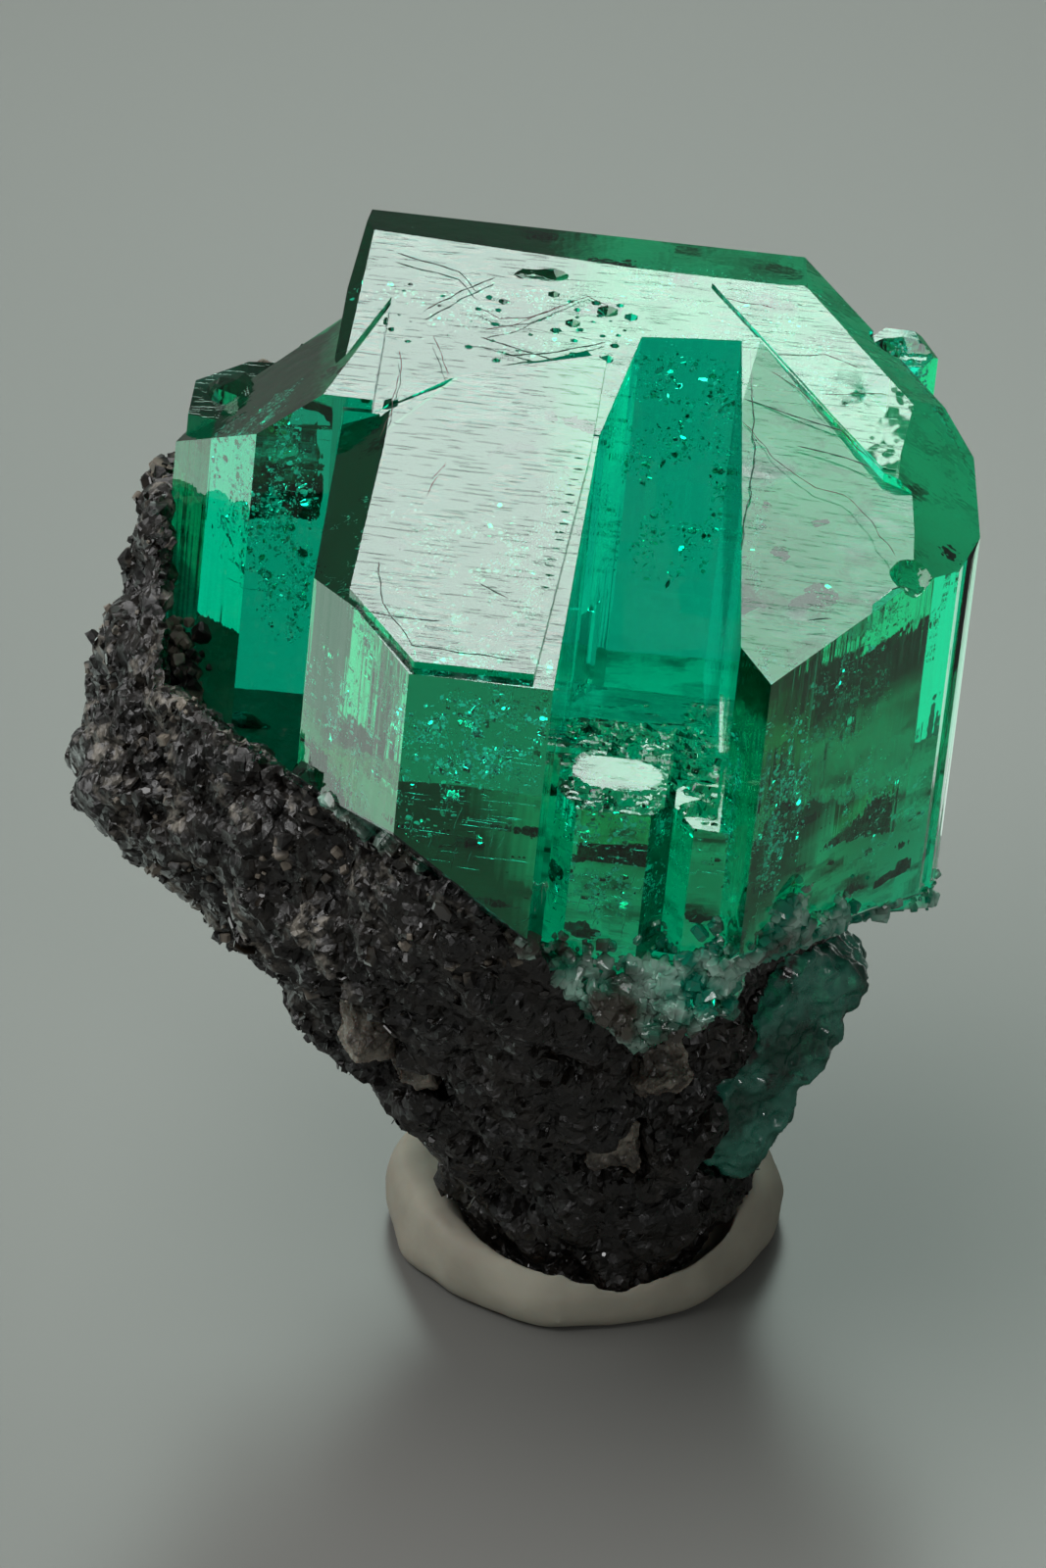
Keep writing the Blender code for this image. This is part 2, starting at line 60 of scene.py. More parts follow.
# %% Bench tools
def pick(*things):
    if bpy.context.object and bpy.context.object.mode != "OBJECT":
        bpy.ops.object.mode_set(mode="OBJECT")
    bpy.ops.object.select_all(action="DESELECT")
    for thing in things:
        thing.select_set(True)
    bpy.context.view_layer.objects.active = things[0]
    return things[0]


def apply_modifier(thing, kind, **settings):
    pick(thing)
    modifier = thing.modifiers.new(kind.lower(), kind)
    for key, value in settings.items():
        setattr(modifier, key, value)
    bpy.ops.object.modifier_apply(modifier=modifier.name)


def merged_copy(node, name):
    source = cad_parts[node]
    copy = bpy.data.objects.new(name, source.data.copy())
    bpy.context.scene.collection.objects.link(copy)
    copy.data.materials.clear()
    pick(copy)
    bpy.ops.object.mode_set(mode="EDIT")
    bpy.ops.mesh.select_all(action="SELECT")
    bpy.ops.mesh.remove_doubles(threshold=0.000002)
    bpy.ops.object.mode_set(mode="OBJECT")
    return copy


def select_faces(thing, wanted):
    """Enter edit mode with only the faces selected for which wanted(face) is true."""
    pick(thing)
    bpy.ops.object.mode_set(mode="EDIT")
    bpy.ops.mesh.select_mode(type="FACE")
    bpy.ops.mesh.select_all(action="DESELECT")
    bpy.ops.object.mode_set(mode="OBJECT")
    for polygon in thing.data.polygons:
        polygon.select = wanted(polygon)
    bpy.ops.object.mode_set(mode="EDIT")


def count_triangles(thing):
    thing.data.calc_loop_triangles()
    return len(thing.data.loop_triangles)


# %% [markdown]
# ## Where the camera stands
#
# A specimen like this is shown from above, at about 33 degrees, from a third of a metre away and through a long
# macro lens. A long lens flattens perspective, which keeps the crystal's parallel edges parallel.

# %% The camera
VIEW_TILT = math.radians(33.0)
VIEW_DISTANCE = 0.33
SENSOR_WIDTH, FOCAL_LENGTH = 36.0, 247.5  # mm
TARGET = Vector((-0.00187, 0.0, 0.0163))
bpy.ops.object.camera_add(
    location=TARGET + VIEW_DISTANCE * Vector((0.0, -math.cos(VIEW_TILT), math.sin(VIEW_TILT))),
    rotation=(math.radians(90.0) - VIEW_TILT, 0.0, 0.0),
)
camera = bpy.context.object
camera.name = "close_up_camera"
camera.data.sensor_fit = "AUTO"
camera.data.sensor_width = SENSOR_WIDTH
camera.data.lens = FOCAL_LENGTH
camera.data.clip_start = 0.01
bpy.context.scene.camera = camera
frame_height = SENSOR_WIDTH / FOCAL_LENGTH * VIEW_DISTANCE
print("the frame is", round(frame_height / MM, 1), "mm tall where the specimen stands")

# %% [markdown]
# ## The table
#
# The specimen stands on a plain grey sheet. One large disc does for a table. Its grey grows paler towards the lower
# right: that is painted light, the pool of lamplight on the sheet put into its colour. A dot product of the place
# with a slope gives a number that rises in one direction, and a colour ramp turns it into greys.

# %% The table
def shader_of(material):
    material.use_nodes = True
    return material.node_tree.nodes["Principled BSDF"]


# The second, paler grey is painted light: the sheet as if lit more strongly towards the lower right.
TABLE_GREY_AND_PAINTED_LIGHT = ((0.14, 0.14, 0.13, 1.0), (0.25, 0.25, 0.237, 1.0))
PAINTED_LIGHT_TOWARDS = (9.0, -13.0, 0.0)
table_finish = bpy.data.materials.new("table_grey")
table_shader = shader_of(table_finish)
table_nodes, table_links = table_finish.node_tree.nodes, table_finish.node_tree.links
table_place = table_nodes.new("ShaderNodeTexCoord")
table_painted_light_slope = table_nodes.new("ShaderNodeVectorMath")
table_painted_light_slope.operation = "DOT_PRODUCT"
table_painted_light_slope.inputs[1].default_value = PAINTED_LIGHT_TOWARDS
table_painted_light_ramp = table_nodes.new("ShaderNodeValToRGB")
for element, grey in zip(table_painted_light_ramp.color_ramp.elements, TABLE_GREY_AND_PAINTED_LIGHT):
    element.color = grey
table_links.new(table_place.outputs["Object"], table_painted_light_slope.inputs[0])
table_links.new(table_painted_light_slope.outputs["Value"], table_painted_light_ramp.inputs["Fac"])
table_links.new(table_painted_light_ramp.outputs["Color"], table_shader.inputs["Base Color"])
table_shader.inputs["Roughness"].default_value = 0.3
table_shader.inputs["Specular IOR Level"].default_value = 0.3

bpy.ops.mesh.primitive_circle_add(vertices=96, radius=3.0, fill_type="NGON", location=(0.0, 0.0, 0.0))
table = bpy.context.object
table.name = "table"
table.data.materials.append(table_finish)
print("table:", round(table.dimensions.x, 1), "m across")

# %% [markdown]
# ## The lights
#
# A flat basal face works like a mirror: it is bright only where a lamp stands in the mirrored direction. So a
# large softbox in two parts hangs low behind the specimen, exactly where the top faces look. Its right part is
# dimmer: faces that are tilted a little to the right look into that part. A glowing card on the table does the
# same for the slanting left faces, and another one glows through the right block. A broad panel high on the left
# fills in the rest, and a small bright lamp beside the camera makes the sparkles.
#
# Emerald green is so pure that a film-like tone curve would wash it out, so the picture uses the standard curve.

# %% The lights
def soft_light(name, place, aim, size, radiance, colour=(1.0, 1.0, 1.0)):
    """A rectangle of light that faces its aim; its energy follows from its size (m) and how bright it looks."""
    bpy.ops.object.light_add(type="AREA", location=place)
    light = bpy.context.object
    light.name = name
    light.data.shape = "RECTANGLE"
    light.data.size, light.data.size_y = size
    light.data.energy = radiance * math.pi * size[0] * size[1]
    light.rotation_euler = (Vector(aim) - Vector(place)).to_track_quat("-Z", "Y").to_euler()
    light.data.color = colour
    light.visible_camera = False
    return light


CRYSTAL_TOP = Vector((0.0, 0.0, 0.0286))
MIRRORED_VIEW = Vector((0.095, 0.839, 0.537)).normalized()
SIDEWAYS = MIRRORED_VIEW.cross(Vector((0.0, 0.0, 1.0))).normalized()
SOFTBOX_DISTANCE, SOFTBOX_HEIGHT = 0.7, 0.2
SOFTBOX_TINT, CARD_TINT = (0.83, 1.0, 0.92), (0.85, 1.0, 0.93)
for name, aside, width, radiance in (("softbox_behind", -0.101, 0.2, 6.4), ("softbox_dim", 0.162, 0.168, 3.1)):
    place = CRYSTAL_TOP + (MIRRORED_VIEW + aside * SIDEWAYS) * SOFTBOX_DISTANCE
    soft_light(name, place, CRYSTAL_TOP, (width, SOFTBOX_HEIGHT), radiance, SOFTBOX_TINT)
soft_light("card_left", (-0.047, 0.022, 0.0005), (-0.047, 0.022, 1.0), (0.052, 0.06), 1.1, CARD_TINT)
soft_light("card_right", (0.018, 0.038, 0.0005), (0.018, 0.038, 1.0), (0.022, 0.036), 0.65, CARD_TINT)
soft_light("panel_left", (-0.36, 0.02, 0.72), (0.0, 0.0, 0.02), (0.85, 0.85), 3.8)
soft_light("spark_front", TARGET + Vector((0.1, -0.32, 0.22)), TARGET, (0.07, 0.07), 13.0)

world = bpy.data.worlds.new("studio_air")
bpy.context.scene.world = world
world.use_nodes = True
world.node_tree.nodes["Background"].inputs["Color"].default_value = (0.95, 1.0, 0.97, 1.0)
world.node_tree.nodes["Background"].inputs["Strength"].default_value = 0.1
bpy.context.scene.view_settings.view_transform = "Standard"

# %% [markdown]
# ## The crystal's own directions
#
# The crystals lean five degrees and are turned a little, so "up the crystal" isn't "up the world". Everything on
# the emerald is placed in the crystal's frame: a and b lie in the flat basal face, c runs up the long axis.

# %% The crystal frame
CRYSTAL_FRAME = (
    Matrix.Translation(CRYSTAL_TOP)
    @ Matrix.Rotation(math.radians(5.0), 4, "Y")
    @ Matrix.Rotation(math.radians(-4.5), 4, "Z")
)
TO_CRYSTAL = CRYSTAL_FRAME.inverted()
crystal_axes = CRYSTAL_FRAME.to_3x3()


def at(a, b, c=0.0):
    """The world place of a spot that is given in the crystal frame, in mm."""
    return CRYSTAL_FRAME @ (Vector((a, b, c)) * MM)


print("the basal face looks along", [round(v, 3) for v in crystal_axes.col[2]])


# %% [markdown]
# ## Node helpers
#
# Materials are small wiring diagrams. A few helpers keep the wiring readable: one adds a node, one does maths, one
# makes noise, one remaps a value between two limits, and others blend colours, raise a bump and tint the inside.

# %% Wiring helpers
class Wiring:
    def __init__(self, name):
        self.material = bpy.data.materials.new(name)
        self.shader = shader_of(self.material)
        self.tree = self.material.node_tree
        self.place = self.add("ShaderNodeTexCoord").outputs["Object"]

    def add(self, kind, **settings):
        node = self.tree.nodes.new(kind)
        for key, value in settings.items():
            setattr(node, key, value)
        return node

    def feed(self, socket, value):
        if hasattr(value, "is_output"):
            self.tree.links.new(value, socket)
        else:
            socket.default_value = value

    def maths(self, operation, first, second=0.0, third=0.0):
        node = self.add("ShaderNodeMath", operation=operation)
        for socket, value in zip(node.inputs, (first, second, third)):
            self.feed(socket, value)
        return node.outputs[0]

    def vector(self, operation, first, second=(0.0, 0.0, 0.0)):
        node = self.add("ShaderNodeVectorMath", operation=operation)
        self.feed(node.inputs[0], first)
        self.feed(node.inputs[1], second)
        return node.outputs["Value" if operation == "DOT_PRODUCT" else "Vector"]

    def noise(self, place, scale, detail=4.0, rough=0.55, twist=0.0):
        node = self.add("ShaderNodeTexNoise")
        self.feed(node.inputs["Vector"], place)
        node.inputs["Scale"].default_value = scale
        node.inputs["Detail"].default_value = detail
        node.inputs["Roughness"].default_value = rough
        node.inputs["Distortion"].default_value = twist
        return node.outputs["Fac"]

    def span(self, value, low, high, new_low=0.0, new_high=1.0):
        node = self.add("ShaderNodeMapRange")
        node.clamp = True
        self.feed(node.inputs["Value"], value)
        for socket, number in zip(("From Min", "From Max", "To Min", "To Max"), (low, high, new_low, new_high)):
            node.inputs[socket].default_value = number
        return node.outputs["Result"]

    def blend(self, share, first, second):
        node = self.add("ShaderNodeMix", data_type="RGBA")
        self.feed(node.inputs[0], share)
        self.feed(node.inputs[6], (*first, 1.0) if isinstance(first, tuple) else first)
        self.feed(node.inputs[7], (*second, 1.0) if isinstance(second, tuple) else second)
        return node.outputs[2]

    def bump(self, height, distance, strength=1.0, below=None):
        node = self.add("ShaderNodeBump")
        self.feed(node.inputs["Height"], height)
        node.inputs["Distance"].default_value = distance
        node.inputs["Strength"].default_value = strength
        if below is not None:
            self.feed(node.inputs["Normal"], below)
        return node.outputs["Normal"]

    def facets(self, scale, tilt):
        """Height of a field of tiny flat facets, each tilted its own way."""
        node = self.add("ShaderNodeTexVoronoi")
        self.feed(node.inputs["Vector"], self.place)
        node.inputs["Scale"].default_value = scale
        lean = self.vector("SUBTRACT", node.outputs["Color"], (0.5, 0.5, 0.5))
        return self.maths("MULTIPLY", self.vector("DOT_PRODUCT", lean, self.place), tilt)

    def swallow(self, let_through, density):
        """Absorb light along its way through the inside, so that thick parts are deeper in colour."""
        depth = self.add("ShaderNodeVolumeAbsorption")
        depth.inputs["Color"].default_value = (*let_through, 1.0)
        depth.inputs["Density"].default_value = density
        self.feed(self.tree.nodes["Material Output"].inputs["Volume"], depth.outputs[0])

    def set(self, **values):
        for key, value in values.items():
            self.feed(self.shader.inputs[key.replace("_", " ")], value)


print("wiring helpers ready")

# %% [markdown]
# ## The emerald's finish
#
# Emerald is clear green beryl. Light bends into it (index 1.58), and the green comes from what the crystal swallows
# on the way: almost all red, some blue, little green. That is a volume absorption, so thin edges are pale and thick
# parts deep. The skin is not perfect: prism faces carry fine lines along the crystal, and basal faces have hairline
# scratches and growth hillocks. Both reliefs follow the crystal's own directions, so the place is first turned into
# its frame, and the way a face looks picks one of the two.

# %% Relief of the emerald's skin
BERYL_INDEX = 1.58
SWALLOWED = 300.0
LET_THROUGH = (0.0, 0.93, 0.876)
GREEN_TINT, BLOOM_TINT = (0.04, 0.95, 0.65), (0.85, 0.76, 0.77)
emerald = Wiring("emerald_clear")
from_top = emerald.vector("SUBTRACT", emerald.place, tuple(CRYSTAL_TOP))
along = [emerald.vector("DOT_PRODUCT", from_top, tuple(crystal_axes.col[k])) for k in range(3)]
in_crystal = emerald.add("ShaderNodeCombineXYZ")
for socket, value in zip(in_crystal.inputs, along):
    emerald.feed(socket, value)
crystal_place = in_crystal.outputs[0]

surface_way = emerald.add("ShaderNodeNewGeometry").outputs["Normal"]
facing_up = emerald.vector("DOT_PRODUCT", surface_way, tuple(crystal_axes.col[2]))
basal = emerald.span(facing_up, 0.985, 0.997)

squeezed = emerald.vector("MULTIPLY", crystal_place, (1.0, 1.0, 0.045))
prism_lines = emerald.noise(squeezed, 1500.0, 2.0, 0.6)
growth_steps = emerald.noise(emerald.vector("MULTIPLY", crystal_place, (0.2, 0.2, 1.0)), 900.0, 2.0, 0.65)
prism_relief = emerald.maths("MULTIPLY_ADD", growth_steps, 0.35, prism_lines)
across = emerald.vector("MULTIPLY", crystal_place, (0.09, 1.0, 1.0))
scratches = emerald.span(emerald.noise(across, 8000.0, 1.0, 0.5), 0.6, 0.68)
hillocks = emerald.noise(crystal_place, 330.0, 3.0, 0.5)
basal_relief = emerald.maths("MULTIPLY_ADD", scratches, -0.1, emerald.maths("MULTIPLY", hillocks, 0.8))
relief_mix = emerald.add("ShaderNodeMix")
for socket, value in zip((0, 2, 3), (basal, prism_relief, basal_relief)):
    emerald.feed(relief_mix.inputs[socket], value)
skin = emerald.bump(relief_mix.outputs[0], 0.00003, 0.8)
print("skin relief: lines on the prism faces, scratches and hillocks on the basal ones")

# %% [markdown]
# A thin bloom of dust and mica lies on the basal faces in patches and streaks. Where it lies, the surface is paler,
# duller and lets a little less light in.

# %% Bloom and green
streaked = emerald.vector("MULTIPLY", crystal_place, (0.35, 1.0, 1.0))
bloom = emerald.maths(
    "MULTIPLY", emerald.span(emerald.noise(crystal_place, 300.0, 3.0, 0.6), 0.5, 0.68),
    emerald.span(emerald.noise(streaked, 2400.0, 2.0, 0.7), 0.4, 0.62),
)
bloom_on_top = emerald.maths("MULTIPLY", bloom, basal)
emerald.set(
    Base_Color=emerald.blend(bloom_on_top, GREEN_TINT, BLOOM_TINT),
    Roughness=emerald.maths("MULTIPLY_ADD", bloom_on_top, 0.15, 0.02),
    IOR=BERYL_INDEX,
    Transmission_Weight=emerald.maths("MULTIPLY_ADD", bloom_on_top, -0.14, 1.0),
    Normal=skin,
)
emerald.swallow(LET_THROUGH, SWALLOWED)
print("emerald swallows", [round(SWALLOWED * (1 - c)) for c in LET_THROUGH], "per metre of red, green and blue")

# %% [markdown]
# ## The crystal cluster
#
# The measured solid has the right faces, so we copy it, merge it, and dissolve the seams between triangles that
# lie in one plane. The finer growth features are then cut or joined with tool shapes. Each tool starts as a flat
# disc with one corner for each corner of its outline; the corners are set, and the face is extruded.

# %% Tools for cutting and joining
cluster = merged_copy("emerald_cluster", "emerald_cluster_clear")
pick(cluster)
bpy.ops.object.mode_set(mode="EDIT")
bpy.ops.mesh.select_all(action="SELECT")
bpy.ops.mesh.dissolve_limited(angle_limit=math.radians(0.2))
bpy.ops.object.mode_set(mode="OBJECT")


def extrude_up(sheet, height):
    """Make a flat sheet a solid slab, height mm thick."""
    pick(sheet)
    bpy.ops.object.mode_set(mode="EDIT")
    bpy.ops.mesh.select_all(action="SELECT")
    bpy.ops.mesh.extrude_region_move(TRANSFORM_OT_translate={"value": (0.0, 0.0, height * MM)})
    bpy.ops.mesh.select_all(action="SELECT")
    bpy.ops.mesh.normals_make_consistent(inside=False)
    bpy.ops.object.mode_set(mode="OBJECT")


def plate(outline, low, high, tip=(0.0, 0.0)):
    """A slab over an outline (mm, crystal frame); tip tilts it by so much height for each mm along a and b."""
    pick(table)
    bpy.ops.mesh.primitive_circle_add(vertices=len(outline), radius=MM, fill_type="NGON")
    slab = bpy.context.object
    area = sum(p[0] * q[1] - q[0] * p[1] for p, q in zip(outline, outline[1:] + outline[:1]))
    for vertex, (a, b) in zip(slab.data.vertices, outline if area > 0 else outline[::-1]):
        vertex.co = (a * MM, b * MM, (low + tip[0] * (a - outline[0][0]) + tip[1] * (b - outline[0][1])) * MM)
    extrude_up(slab, high - low)
    slab.data.transform(CRYSTAL_FRAME)
    return slab


def carve(body, tool, operation="DIFFERENCE"):
    apply_modifier(body, "BOOLEAN", operation=operation, solver="EXACT", object=tool)
    bpy.data.objects.remove(tool)


print("cluster copied:", count_triangles(cluster), "triangles")

# %% [markdown]
# The right block's top isn't one mirror. A slanting crack parts a bright growth plate at the back from a face that
# is tilted by about two degrees, so it catches less of the softbox.

# %% Growth plates
PLATE_RIGHT = [
    (3.17, 10.11), (4.55, 7.78), (7.45, 2.78), (8.95, 0.3), (9.36, 0.25), (9.43, 1.03), (9.7, 4.19), (6.0, 10.6),
]
carve(cluster, plate(PLATE_RIGHT, -0.3, 0.045), "UNION")
FACE_RIGHT = [
    (4.2, 7.6), (4.7, 7.3), (7.5, 2.6), (9.0, 0.1), (9.9, -0.4), (10.3, -5.0), (6.3, -12.3), (5.2, -12.3),
    (4.0, -2.0),
]
FACE_TIP = (-0.035, 0.018)
carve(cluster, plate(FACE_RIGHT, 0.03, 1.0, FACE_TIP))
print("after growth plates:", count_triangles(cluster), "triangles")

# %% [markdown]
# ## Pits and chips
#
# Etch pits are six-sided like the crystal. One pit cutter is modelled as a cone with its tip down, and copies of it
# are strewn over the three pitted areas, where none may overlap. A ladder of narrow ones runs down the middle of
# the cluster. All are joined into one tool and cut in one go, because each boolean takes its time.

# %% One mesh from many copies
def strew(name, pattern, places):
    """Join a copy of the pattern's mesh for every place (a matrix) into one mesh."""
    corners = np.array([tuple(v.co) for v in pattern.data.vertices])
    faces = [list(p.vertices) for p in pattern.data.polygons]
    points, polygons = [], []
    for number, place in enumerate(places):
        rotation = np.array(place.to_3x3())
        points.append(corners @ rotation.T + np.array(place.translation))
        polygons += [[index + number * len(corners) for index in face] for face in faces]
    mesh = bpy.data.meshes.new(name)
    mesh.from_pydata(np.concatenate(points).tolist(), [], polygons)
    mesh.update()
    thing = bpy.data.objects.new(name, mesh)
    bpy.context.scene.collection.objects.link(thing)
    return thing


pick(table)
bpy.ops.mesh.primitive_cone_add(vertices=6, radius1=0.02, radius2=1.0, depth=1.0, location=(0.0, 0.0, 0.0))
pit_cutter = bpy.context.object
print("pit cutter:", len(pit_cutter.data.polygons), "faces")

# %% Etch pits
PIT_AREAS = [  # two corners (mm) and how many tries
    ((-6.6, 5.0), (-3.2, 8.2), 320), ((-1.2, 4.6), (0.9, 8.4), 70), ((-3.2, 4.4), (-0.6, 7.0), 30),
]
dice = random.Random(21)
taken, pit_places = [], []
for (low_a, low_b), (high_a, high_b), count in PIT_AREAS:
    for _ in range(count):
        a, b = dice.uniform(low_a, high_a), dice.uniform(low_b, high_b)
        radius = dice.choice((0.14, 0.18, 0.22, 0.28, 0.36))
        if any(math.hypot(a - p, b - q) < (radius + r) * 1.02 for p, q, r in taken):
            continue
        taken.append((a, b, radius))
        shape = Matrix.Diagonal((radius * MM, radius * MM * dice.uniform(0.7, 1.3), radius * 1.5 * MM, 1.0))
        pit_places.append(
            CRYSTAL_FRAME @ Matrix.Translation(Vector((a, b, -0.05 - 0.3 * radius)) * MM)
            @ Matrix.Rotation(math.radians(dice.choice((0, 30))), 4, "Z") @ shape
        )
RUNGS = 15
for rung in range(RUNGS):
    a, b = -0.1 - 0.03 * rung + dice.uniform(-0.05, 0.05), -1.2 - 0.52 * rung + dice.uniform(-0.12, 0.12)
    shape = Matrix.Diagonal((0.3 * MM, dice.uniform(0.06, 0.13) * MM, 0.2 * MM, 1.0))
    pit_places.append(CRYSTAL_FRAME @ Matrix.Translation(Vector((a, b, 0.0)) * MM) @ shape)
carve(cluster, strew("pits", pit_cutter, pit_places))
bpy.data.objects.remove(pit_cutter)
print("pits:", len(pit_places))

# %% [markdown]
# A conchoidal chip is shaped like the inside of a shell. Chips are missing from the lower left corner of the left
# block, from the broken mass under the slot, from the back edge and from a few corners. The tool is a ball whose
# skin carries faint rings and dents.

# %% Conchoidal chips
CHIPS = [  # a, b, c (mm), half size (mm), seed
    (-8.6, -11.6, -8.6, (2.6, 2.6, 3.2), 1.0), (4.6, -12.6, -11.0, (1.7, 1.7, 1.6), 4.0),
    (8.4, -10.2, -9.4, (1.3, 1.3, 1.5), 7.0), (12.4, -2.6, -13.9, (1.3, 1.5, 1.1), 3.0),
    (6.7, -12.9, -7.2, (0.9, 0.9, 2.0), 5.0), (-2.0, 9.7, 1.25, (1.9, 1.0, 1.5), 6.0),
    (10.4, -4.9, -0.1, (1.0, 1.0, 0.9), 8.0), (9.4, 9.1, -0.55, (1.3, 1.1, 0.75), 9.0),
]


def shell_tool(a, b, c, size, seed):
    pick(table)
    bpy.ops.mesh.primitive_ico_sphere_add(subdivisions=4, radius=1.0)
    ball = bpy.context.object
    for vertex in ball.data.vertices:
        dent = noise.noise(vertex.co * 2.0 + Vector((seed, 0, 0)))
        reach = 1.0 + 0.03 * math.sin(11.0 * vertex.co.x + seed) + 0.06 * dent
        vertex.co = Vector([vertex.co[k] * size[k] * MM * reach for k in range(3)])
    ball.data.transform(Matrix.Translation(at(a, b, c)) @ crystal_axes.to_4x4())
    ball.data.shade_smooth()
    return ball


for chip in CHIPS:
    carve(cluster, shell_tool(*chip))
print("after chips:", count_triangles(cluster), "triangles")

# %% [markdown]
# ## The floor of the slot
#
# The floor of the slot and the tops of the short prisms are broken and ribbed, not polished. The cutting tool is a
# fine grid over the slot. Its corners are set to a ribbed, uneven height, but a lens in the middle stays flat: that
# lens keeps its mirror. Towards the right the floor takes a step down, and towards the back it falls away.
# Extruding the grid upwards makes the tool solid.

# %% Ribbed slot floor
LENS_MIDDLE, LENS_REACH = (2.15, -8.85), (1.35, 0.95)
FLOOR, STEP_AT, STEP_DOWN = -5.98, 3.7, 0.42
FALL_FROM, FALL = -7.2, 0.45


def ramp(value, start, width):
    return min(1.0, max(0.0, (value - start) / width))


pick(table)
bpy.ops.mesh.primitive_grid_add(x_subdivisions=70, y_subdivisions=130, size=2.0)
ribs = bpy.context.object
for vertex in ribs.data.vertices:
    a, b = 2.9 + vertex.co.x * 3.3, -4.0 + vertex.co.y * 8.4
    floor_height = FLOOR - STEP_DOWN * ramp(a, STEP_AT, 0.5) - max(0.0, b - FALL_FROM) * FALL
    rib = 0.12 * noise.noise(Vector((a * 0.5, b * 4.2, 3.0))) + 0.1 * noise.noise(Vector((a * 1.5, b * 9.0, 8.0)))
    broken = 0.3 * max(0.0, noise.noise(Vector((a * 1.1, b * 1.1, 12.0))) - 0.05)
    off_lens = math.hypot((a - LENS_MIDDLE[0]) / LENS_REACH[0], (b - LENS_MIDDLE[1]) / LENS_REACH[1])
    rough = ramp(off_lens, 1.0, 0.25)
    coarse = 1.0 + 1.6 * ramp(a, STEP_AT, 0.3) + ramp(b, -7.0, 0.5)
    vertex.co = (a * MM, b * MM, (floor_height - rough * (0.05 + broken * coarse) + rough * rib * coarse) * MM)
extrude_up(ribs, 3.0)
ribs.data.transform(CRYSTAL_FRAME)
SLOT_ROOM = [(0.42, 1.0), (0.12, -13.6), (5.3, -13.6), (5.28, -10.1), (4.85, -2.5), (4.4, 5.4), (0.9, 5.4)]
slot_room = plate(SLOT_ROOM, -12.0, 1.0)
apply_modifier(ribs, "BOOLEAN", operation="INTERSECT", solver="EXACT", object=slot_room)
bpy.data.objects.remove(slot_room)
ribs.data.shade_flat()
carve(cluster, ribs)
print("after the slot:", count_triangles(cluster), "triangles")

# %% [markdown]
# A real edge is never razor sharp: a bevel a few hundredths of a millimetre wide gives each edge its thin bright
# line. Edges that meet at a shallow angle stay as they are, so the softly curved chips keep their shape.

# %% Bevel and finish the cluster
apply_modifier(
    cluster, "BEVEL", width=0.045 * MM, segments=2, limit_method="ANGLE", angle_limit=math.radians(15.0),
    use_clamp_overlap=True, harden_normals=False,
)
apply_modifier(cluster, "TRIANGULATE")
cluster.data.materials.clear()
cluster.data.materials.append(emerald.material)
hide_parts("emerald_cluster")
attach(cluster, "root")
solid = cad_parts["emerald_cluster"].data
inside_tree = BVHTree.FromPolygons([v.co for v in solid.vertices], [p.vertices for p in solid.polygons])
print("cluster:", count_triangles(cluster), "triangles")

# %% [markdown]
# ## The two contacts
#
# Where the crystal grew on the rock there is no air, so its underside swallows light instead of mirroring it. That
# is why the lower half of the left front looks black. Under the right block the contact is pale crushed quartz,
# which scatters light back, so that side glows. For each film we copy the cluster, keep only the faces that look
# down along its contact plane, and lift them a hair into the crystal.

# %% The contact films
FILM_THICKNESS, FILM_LIFT = 0.02, 0.05  # mm


def film(name, wanted):
    """A thin sheet over those faces of the measured cluster for which wanted(normal) is true."""
    sheet = merged_copy("emerald_cluster", name)
    select_faces(sheet, lambda face: not wanted(face.normal))
    bpy.ops.mesh.delete(type="FACE")
    bpy.ops.object.mode_set(mode="OBJECT")
    apply_modifier(sheet, "SOLIDIFY", thickness=FILM_THICKNESS * MM, offset=-1.0)
    for vertex in sheet.data.vertices:
        vertex.co += crystal_axes.col[2] * FILM_LIFT * MM
    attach(sheet, "root")
    print(name, count_triangles(sheet), "triangles")
    return sheet


UNDERSIDE = (-20.26, -0.756, -0.821)  # of the left block: height at a = b = 0 (mm), slope along a, slope along b
SAME_WAY = 0.98
down = crystal_axes @ Vector((0.0, 0.0, -1.0))
down_left = crystal_axes @ Vector((UNDERSIDE[1], UNDERSIDE[2], -1.0)).normalized()
down_right = crystal_axes @ Vector((0.7215, -0.7503, -1.0)).normalized()
black_film = film("contact_mica", lambda way: way.dot(down_left) > SAME_WAY)
pale_film = film(
    "contact_quartz", lambda way: way.dot(down_right) > SAME_WAY or way.dot(down) > SAME_WAY,
)

# %% [markdown]
# The black film has a few pale patches, where grains of quartz touch the crystal. The pale one is crushed, so it
# has a rough bump, and it darkens towards the left, where it runs into the mica.

# %% Contact finishes
black = Wiring("contact_black")
black_patches = black.span(black.noise(black.place, 480.0, 5.0, 0.65, 0.6), 0.5, 0.6)
black.set(
    Base_Color=black.blend(black_patches, (0.003, 0.004, 0.004), (0.5, 0.56, 0.5)),
    Roughness=0.6, Specular_IOR_Level=0.2,
)
black_film.data.materials.append(black.material)
quartz = Wiring("contact_pale")
quartz_patches = quartz.span(quartz.noise(quartz.place, 420.0, 5.0, 0.6, 0.5), 0.3, 0.5)
to_the_right = quartz.vector("DOT_PRODUCT", quartz.place, (1.0, 0.1, 0.0))
quartz_patches = quartz.maths("MULTIPLY", quartz_patches, quartz.span(to_the_right, -0.0015, 0.0005))
quartz.set(
    Base_Color=quartz.blend(quartz_patches, (0.06, 0.1, 0.08), (0.85, 0.92, 0.86)),
    Roughness=0.7, Specular_IOR_Level=0.3,
    Normal=quartz.bump(quartz.noise(quartz.place, 1500.0, 5.0), 0.0002, 0.6),
)
pale_film.data.materials.append(quartz.material)
print("finishes:", black.material.name, "and", quartz.material.name)

